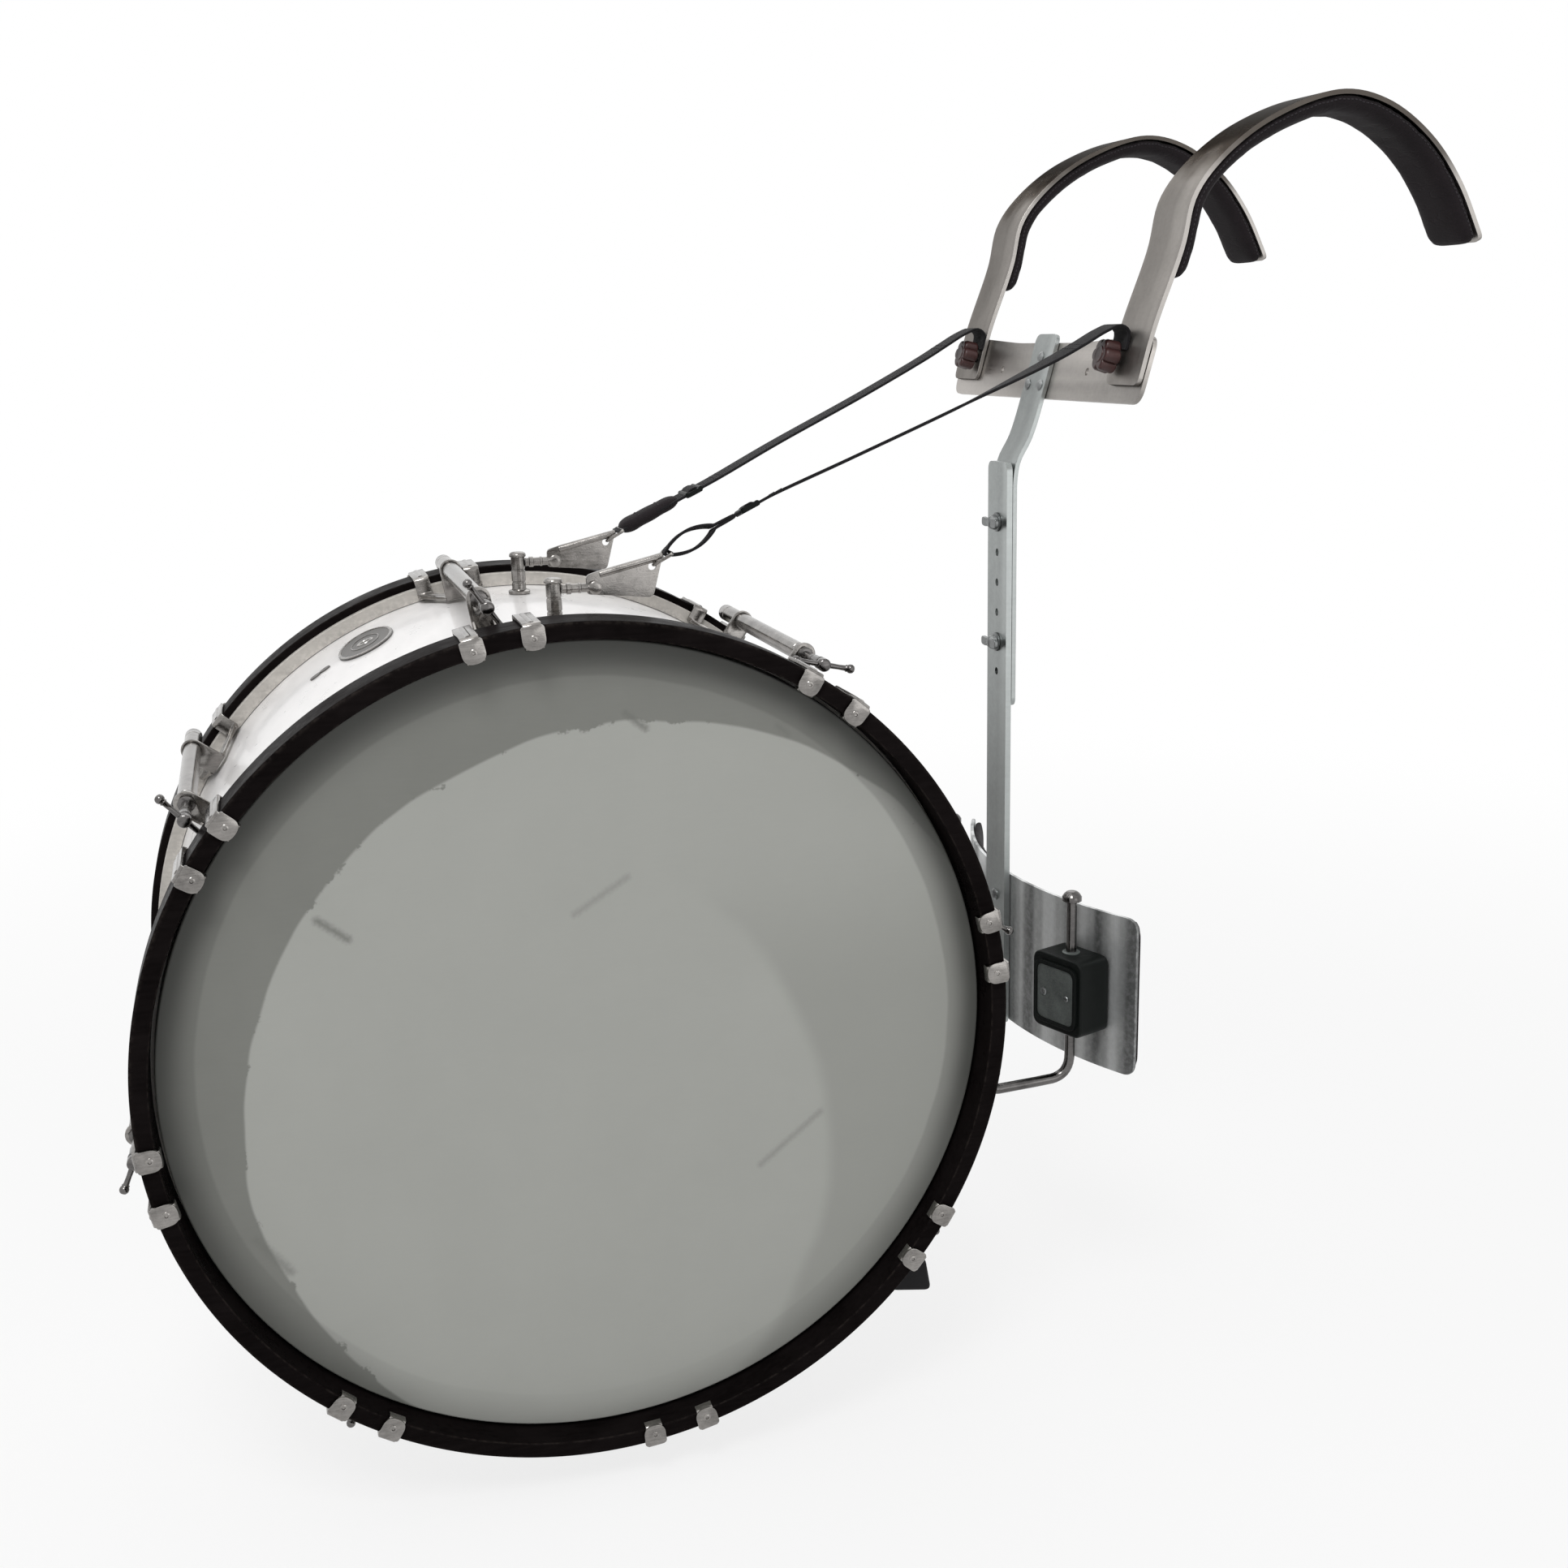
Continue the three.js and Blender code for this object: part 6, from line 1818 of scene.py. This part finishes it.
        def crown(point: Vector) -> Vector:
            away = Vector((centre - point.x, -point.y))
            depth = radius - away.length
            across = abs(math.asin(max(-1.0, min(1.0, point.y / radius)))) * radius / reach
            up = abs(point.z - (low + high) / 2) / ((high - low) / 2)
            fill = max(0.0, 1 - across ** 6) * max(0.0, 1 - up ** 4)
            quilt = 0.9 + 0.1 * math.cos(point.z * 0.12) * math.cos(point.y * 0.09)
            more = 1.6 * fill * quilt * max(0.0, (depth - 1.0) / 5.4)
            shrink = (away.length - more) / away.length
            return Vector((centre - away.x * shrink, -away.y * shrink, point.z))
        made.bend(crown)
        made.inflate(3.2, 1.4, lambda p: radius - math.hypot(centre - p.x, p.y) < 1.6)
        piece = made.place("carrier_belly_pad", "foam", [FOAM], stands_for=["belly_pad"], weighted=False)

    def bolt(self, label: str, z: float) -> None:
        """A wing bolt through the post and the stem, with its nut and washer."""
        head = self.post_x[0] - GAP
        made = Solid().turned(self.head, (head, 0.0, z), -ACROSS, 28)
        place = Matrix.Translation((0.0, 0.0, z)) @ FACING_X
        for way in (-1, 1):
            outline = rounded([(way * a, b, r) for a, b, r in self.wing[::way]], 1.0, 6)
            made.add(Solid().prism(outline, head - 7.8, head - 4.4, place).soften(1.2, 3))
        made.add(Solid().rod(4.0, (head - 2.0, 0.0, z), (409.2, 0.0, z), 20))
        made.add(Solid().prism(circle(7.0, sides=6), 404.6, 408.8, place).soften(0.6, 2))
        made.place(f"wing_bolt_{label}", "bolt_steel", [STEEL], f"height_bolt_{label}_body",
                   [f"height_bolt_{label}"])

    def seat(self, side: Side) -> Matrix:
        """A clamp's frame on the belly plate: X outward from the plate, Z up."""
        y = side.value * self.clamp_y
        angle = math.asin(y / self.curve)
        return (Matrix.Translation((self.centre - self.curve * math.cos(angle), y, 0.0))
                @ Matrix.Rotation(math.pi - angle, 4, "Z"))

    def clamp(self, side: Side) -> None:
        """A black clamp block with a rimmed grey face plate and two screws."""
        outline = rounded(rectangle(-27.5, 27.5, -52.0, 13.0), 9.0, 8)
        made = Solid().prism(outline, 0.4, 33.3, FACING_X).soften(2.0, 3)
        rim = rounded(rectangle(-23.5, 23.5, -46.0, 7.0), 9.0, 8)
        inner = rounded(rectangle(-20.3, 20.3, -42.8, 3.8), 7.0, 8)
        face = rounded(rectangle(-20.6, 20.6, -43.1, 4.1), 7.0, 8)
        made.add(Solid().prism(rim, 33.0, 35.9, FACING_X, [inner]).soften(0.8, 3))
        made.add(Solid(1).prism(face, 33.0, 34.9, FACING_X).soften(0.4, 2))
        for y, radius in ((-12.5, 3.4), (13.0, 2.6)):
            screw = [(radius * share, out) for share, out in self.screw]
            made.add(Solid(2).turned(screw, (34.7, y, -19.5), ACROSS, 20))
        for z, way in ((12.6, 1), (-51.6, -1)):
            made.add(Solid(1).turned(self.bush, (self.rod_out, 0.0, z), UP * way, 24))
        made.move(self.seat(side))
        made.place(f"j_rod_clamp_{side.label}", "black_plastic", [PLASTIC, FACE, STEEL],
                   stands_for=[f"rod_clamp_{side.label}"])

    def rod(self, side: Side) -> None:
        """The J-rod, bent in under the socket and up into it, with its end cap."""
        x, y, _ = self.seat(side) @ Vector((self.rod_out, 0.0, 0.0))
        knee, elbow, arm = -76.0, -96.0, -98.0

        def at(x: float, z: float) -> Vector:
            return Vector((x, y, z))
        tip = self.tip_x
        line = [*(at(x, z) for z in (57.0, 20.0, -20.0, -60.0)),
                *bow(at(x, knee), at(x, elbow), at(x - 20.0, elbow), 10), at(x - 30.0, elbow - 0.6),
                *bow(at(tip + 11.0, arm), at(tip, arm), at(tip, arm + 11.0), 10),
                at(tip, -61.0), at(tip, -60.0)]
        scale = [(1.0, 1.0)] * (len(line) - 1) + [(0.75, 0.75)]
        made = Solid().sweep(line, circle(4.25, sides=24), scale=scale)
        made.add(Solid().turned(self.cap, line[0], UP, 32))
        made.place(f"j_rod_{side.label}", "chrome", [SHADED_CHROME], f"hook_rod_{side.label}_body",
                   [f"hook_rod_{side.label}"])


# Yoke


@dataclass
class Yoke:
    """The stem, the chest plate, the shoulder arches with their pads, and the knobs.

    Attributes:
        origin, tilt: Place and slant of the chest plate's frame.
        arch_y, knob_y: Where the arches and the knobs stand along the drum.
        stem_x: Where the stem's straight run lies.
        body: The body that all but the knobs ride on.
        bend: Points of the stem above its straight run.
        crown: Shares of an arch's reach and rise, from its foot on.
        stem_rivet, plate_rivet, button: Turned forms of the rivets and of the knob's end.
        grip: The knob's rings, as a depth and a share of its width.
        arch: The arch's outer line, worked out from the rest.
    """

    origin: Pair = (435.25, 490.05)
    tilt: float = 15.86
    arch_y: float = 155.0
    knob_y: float = 140.0
    stem_x: float = 401.3
    body: str = "yoke"
    bend: Profile = ((404.3, 404.0), (414.6, 423.0), (427.0, 461.0), (439.5, 505.0))
    crown: Profile = ((0.075, 0.341), (0.106, 0.553), (0.18, 0.713), (0.324, 0.885), (0.534, 1.0),
                      (0.679, 0.958), (0.817, 0.81), (0.917, 0.613), (1.0, 0.353))
    stem_rivet: Profile = ((4.6, 0.0), (4.6, 0.5), (3.6, 1.6), (1.8, 2.3), (0.6, 2.4))
    plate_rivet: Profile = ((4.4, 0.0), (4.4, 0.5), (3.4, 1.5), (1.6, 2.1), (0.6, 2.2))
    grip: Profile = ((0.0, 0.90), (0.9, 0.97), (2.0, 1.0), (10.6, 0.97), (12.2, 0.90), (13.0, 0.78))
    button: Profile = ((6.8, 0.0), (6.4, 0.6), (5.6, 0.8), (4.8, 0.5), (2.0, 0.4))
    arch: Line = field(init=False)

    def __post_init__(self) -> None:
        """Draw the arch's outer line, from its foot over the shoulder."""
        low, high = self.point(-1.5, -24.0), self.point(-1.5, 20.0)
        crown = [(high.x + a * 279.0, 0.0, high.z + b * 165.4) for a, b in self.crown]
        self.arch = Line(smooth_line([low, high, *crown], 160))

    def point(self, x: float, s: float) -> Vector:
        """A point of the chest plate's frame, in the drum's frame."""
        turn = math.radians(self.tilt)
        return Vector((self.origin[0] + x * math.cos(turn) + s * math.sin(turn), 0.0,
                       self.origin[1] - x * math.sin(turn) + s * math.cos(turn)))

    def frame(self) -> Matrix:
        """The chest plate's frame: X toward the player, Z up the slant."""
        return (Matrix.Translation((self.origin[0], 0.0, self.origin[1]))
                @ Matrix.Rotation(math.radians(self.tilt), 4, "Y"))

    def build(self) -> None:
        """Make every piece of the yoke."""
        self.stem()
        self.plate()
        for side in Side:
            self.shoulder(side)
            self.pad(side)
            self.knob(side)

    def stem(self) -> None:
        """The slotted stem, bent back toward the chest."""
        x = self.stem_x
        side = ((x, 198.0), (x, 300.0), (x, 376.0), (x + 0.15, 388.0), *self.bend)
        line = Line(smooth_line([(x, 0.0, z) for x, z in side], 80))
        outline = rounded(rectangle(-20.0, 20.0, 0.0, line.length), 8.0, 8)
        slot = rounded(rectangle(-4.6, 4.6, 47.0, 197.0), 4.5, 8)
        made = Solid().prism(outline, -2.0, 2.0, FACING_X, [slot]).soften(0.6, 2)
        made.slice(UP, [150.0 + 6.0 * i for i in range(27)])

        def rule(point: Vector) -> Vector:
            here, inward = line.frame(point.z, 3.0)
            return here + inward * point.x + ALONG * point.y
        made.bend(rule)
        for y, z in ((-12.0, -27.0), (12.0, -27.0), (0.0, -4.0)):
            made.add(Solid(1).turned(self.stem_rivet, (-1.9, y, z), -ACROSS, 20), self.frame())
        made.place("yoke_stem", "brushed", [ALUMINIUM, STEEL], self.body, ["stem"])

    def plate(self) -> None:
        """The chest plate that joins the stem and both arches."""
        plan = [(-182.0, -37.0), (182.0, -37.0), (182.0, 15.0), (62.0, 9.0), (-62.0, 9.0), (-182.0, 15.0)]
        holes = [circle(4.3, (side.value * self.knob_y, -5.0), 24) for side in Side]
        holes += [circle(3.0, (side.value * 84.0, -14.0), 20) for side in Side]
        made = Solid().prism(rounded(plan, 13.0, 8), 2.3, 5.8, FACING_X, holes).soften(0.7, 2)
        for side in Side:
            for y in (168.0, 112.0):
                made.add(Solid(1).turned(self.plate_rivet, (5.7, side.value * y, -20.0), ACROSS, 20))
        made.move(self.frame()).place("yoke_chest_plate", "brushed", [CROSS_BRUSHED, STEEL], self.body,
                                      ["chest_plate"])

    def follow(self, solid: Solid, side: Side) -> Solid:
        """Bend a flat upright strip along the arch's line."""
        def rule(point: Vector) -> Vector:
            here, inward = self.arch.frame(point.z, 4.0)
            return here + inward * point.x + ALONG * (point.y + side.value * self.arch_y)
        return solid.slice(UP, [6.0 * i for i in range(1, int(self.arch.length / 6.0) + 1)]).bend(rule)

    def shoulder(self, side: Side) -> None:
        """One arch of flat bar over a shoulder."""
        outline = rounded(rectangle(-26.0, 26.0, 0.0, self.arch.length), 7.0, 8)
        hole = circle(4.3, (-side.value * 15.0, 19.0), 24)
        made = Solid().prism(outline, 0.0, 3.5, FACING_X, [hole]).soften(0.8, 3)
        self.follow(made, side).place(f"shoulder_arch_{side.label}", "brushed", [ARCH_METAL], self.body,
                                      [f"arch_{side.label}"])

    def pad(self, side: Side) -> None:
        """The foam pad under an arch, with a seam down each edge and a rounded nose."""
        start, end = self.arch.length * 0.175, self.arch.length + 0.2
        path, scale = [], []
        for i in range(91):
            t = i / 90
            here, inward = self.arch.frame(start + (end - start) * t, 4.0)
            away = 1 - min(1.0, min(t, 1 - t) * (end - start) / 10.0)
            ends = 1 - math.sqrt(max(0.0, 1 - away ** 2))
            fill = 1 - 0.5 * ends
            path.append(here + inward * 3.8 + ALONG * side.value * self.arch_y)
            wave = 1.0 + 0.018 * math.sin(t * 23.0 + side.value) + 0.012 * math.sin(t * 61.0)
            scale.append((1 - 0.34 * ends, fill * wave))
        arc = [(26.2 * power(math.cos(t), 0.32), 1.4 + 8.8 * math.sin(t) ** 0.62) for t in half_turn(28)]
        made = Solid().sweep(path, [(-25.4, 0.0), (25.4, 0.0), *arc], scale=scale)
        marks = self.arch.spaced(600)
        line = KDTree(len(marks))
        for i, mark in enumerate(marks):
            line.insert(mark, i)
        line.balance()
        made.inflate(4.5, 1.5, lambda p: line.find((p.x, 0.0, p.z))[2] < 5.4)
        middle = [self.arch.frame(start + 9.0 + (end - start - 18.0) * i / 80, 4.0) for i in range(81)]
        rows = made.cling([[here + inward * 7.0 + ALONG * (side.value * self.arch_y + way * 29.0)
                            for here, inward in middle] for way in (-1, 1)])
        piece = made.place(f"shoulder_pad_{side.label}", "foam", [FOAM], self.body,
                           [f"arch_pad_{side.label}"], weighted=False)
        stitches(f"shoulder_pad_stitches_{side.label}", rows, "foam", self.body)

    def knob(self, side: Side) -> None:
        """A lobed knob whose stud goes through the arch and the chest plate."""
        face = -5.5
        rings = []
        for depth, share in self.grip:
            lobes = [((10.0 + 3.2 * abs(math.cos(3 * t)) ** 0.7) * share, t) for t in turns(96)]
            rings.append([Vector((face - depth, r * math.cos(t), r * math.sin(t))) for r, t in lobes])
        made = Solid().loft(rings)
        made.add(Solid().turned(self.button, (face - 12.8, 0, 0), -ACROSS, 32))
        made.add(Solid(1).rod(3.5, (face - 1.0, 0, 0), (9.0, 0, 0), 20))
        made.move(self.frame() @ Matrix.Translation((0.0, side.value * self.knob_y, -5.0)))
        made.place(f"strap_knob_grip_{side.label}", "knob_plastic", [KNOB, STEEL],
                   f"strap_knob_{side.label}_body", [f"strap_knob_{side.label}"])


# Studio


@dataclass
class Studio:
    """The floor, the lamps, the world and the camera at the photograph's place.

    Attributes:
        lens: The camera's lens.
        place, right, up, back: The camera's place and the directions of its axes.
        lamps: Each lamp's name, place, size and power.
        aim: Where the lamps point.
        reach: Half of the floor's width.
    """

    lens: float = 41.367
    place: Triple = (-0.20518, -1.23689, 0.50822)
    right: Triple = (0.958907, -0.282808, -0.022735)
    up: Triple = (0.089344, 0.224935, 0.970269)
    back: Triple = (-0.269286, -0.932429, 0.240959)
    aim: Triple = (0.1, 0.17, 0.1)
    reach: float = 14.0
    lamps: tuple[tuple[str, Triple, float, float], ...] = (
        ("key", (-0.7, -1.6, 2.5), 1.0, 40.0), ("fill", (1.4, -2.6, 0.3), 1.8, 9.0),
        ("rim", (0.9, 2.2, 2.2), 2.0, 14.0), ("top", (-0.9, 0.4, 2.6), 2.4, 16.0))

    def build(self) -> None:
        """Set up everything round the object."""
        self.floor()
        self.world()
        for name, place, size, watts in self.lamps:
            self.lamp(name, place, size, watts)
        self.camera()
        bpy.context.scene.view_settings.view_transform = "Standard"

    @staticmethod
    def seen(graph: Graph) -> Socket:
        """One for camera, glossy and transmission rays, otherwise zero."""
        rays = graph.node("ShaderNodeLightPath").outputs
        both = graph.math("MAXIMUM", rays["Is Camera Ray"], rays["Is Glossy Ray"])
        return graph.math("MAXIMUM", both, rays["Is Transmission Ray"])

    def floor(self) -> None:
        """A plain pale floor that keeps the object's shadow."""
        level = CAD_BOX[0][2] - 0.0004
        mesh = bpy.data.meshes.new("studio_floor")
        corners = rectangle(-self.reach, self.reach, -self.reach, self.reach)
        mesh.from_pydata([(x, y, level) for x, y in corners], [], [(0, 1, 2, 3)])
        made = linked("studio_floor", mesh)
        material = bpy.data.materials.new("studio_floor")
        material.use_nodes = True
        graph = Graph(material.node_tree)
        shader = material.node_tree.nodes["Principled BSDF"]
        shader.inputs["Base Color"].default_value = (0.82, 0.82, 0.82, 1.0)
        shader.inputs["Roughness"].default_value = 0.9
        shader.inputs["Specular IOR Level"].default_value = 0.0
        glow = graph.node("ShaderNodeEmission", {"Color": (1.0, 1.0, 1.0, 1.0), "Strength": 1.0})
        spot = graph.node("ShaderNodeTexCoord").outputs["Object"]
        flat = graph.stretched(graph.vector("SUBTRACT", spot, (0.2, 0.17, 0.0)), (1.0, 1.0, 0.0))
        fade = graph.remap(graph.length(flat), 0.6, 2.6, 0.8, 1.0, smooth=True)
        share = graph.times(self.seen(graph), fade)
        blend = graph.node("ShaderNodeMixShader", {0: share, 1: shader.outputs[0], 2: glow.outputs[0]})
        graph.link(blend.outputs[0], material.node_tree.nodes["Material Output"].inputs["Surface"])
        mesh.materials.append(material)

    def world(self) -> None:
        """White to the camera and in reflections, a softer level as light."""
        world = bpy.data.worlds.new("studio")
        bpy.context.scene.world = world
        world.use_nodes = True
        graph = Graph(world.node_tree)
        strength = graph.remap(self.seen(graph), 0.0, 1.0, 0.45, 1.0)
        back = world.node_tree.nodes["Background"]
        back.inputs["Color"].default_value = (1.0, 1.0, 1.0, 1.0)
        graph.link(strength, back.inputs["Strength"])

    def lamp(self, name: str, place: Triple, size: float, watts: float) -> None:
        """A large soft lamp aimed at the drum."""
        data = bpy.data.lights.new(name, "AREA")
        data.size = size
        data.energy = watts
        made = linked(name, data)
        made.location = place
        aim = Vector(self.aim) - Vector(place)
        made.rotation_euler = aim.to_track_quat("-Z", "Y").to_euler()

    def camera(self) -> None:
        """The camera at the photograph's place and angle."""
        data = bpy.data.cameras.new("camera")
        data.lens = self.lens
        data.sensor_width = 36.0
        data.sensor_fit = "HORIZONTAL"
        made = linked("camera", data)
        turn = Matrix((self.right, self.up, self.back)).transposed().to_4x4()
        made.matrix_world = Matrix.Translation(self.place) @ turn
        bpy.context.scene.camera = made


def main() -> None:
    """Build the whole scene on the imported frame."""
    logging.basicConfig(level=logging.INFO, format="%(name)s %(message)s")
    drum = Drum()
    ears = Fittings(drum)
    for assembly in (Studio(), drum, Stations(drum), ears, Straps(ears), Carrier(), Yoke()):
        assembly.build()


if __name__ == "__main__":
    main()
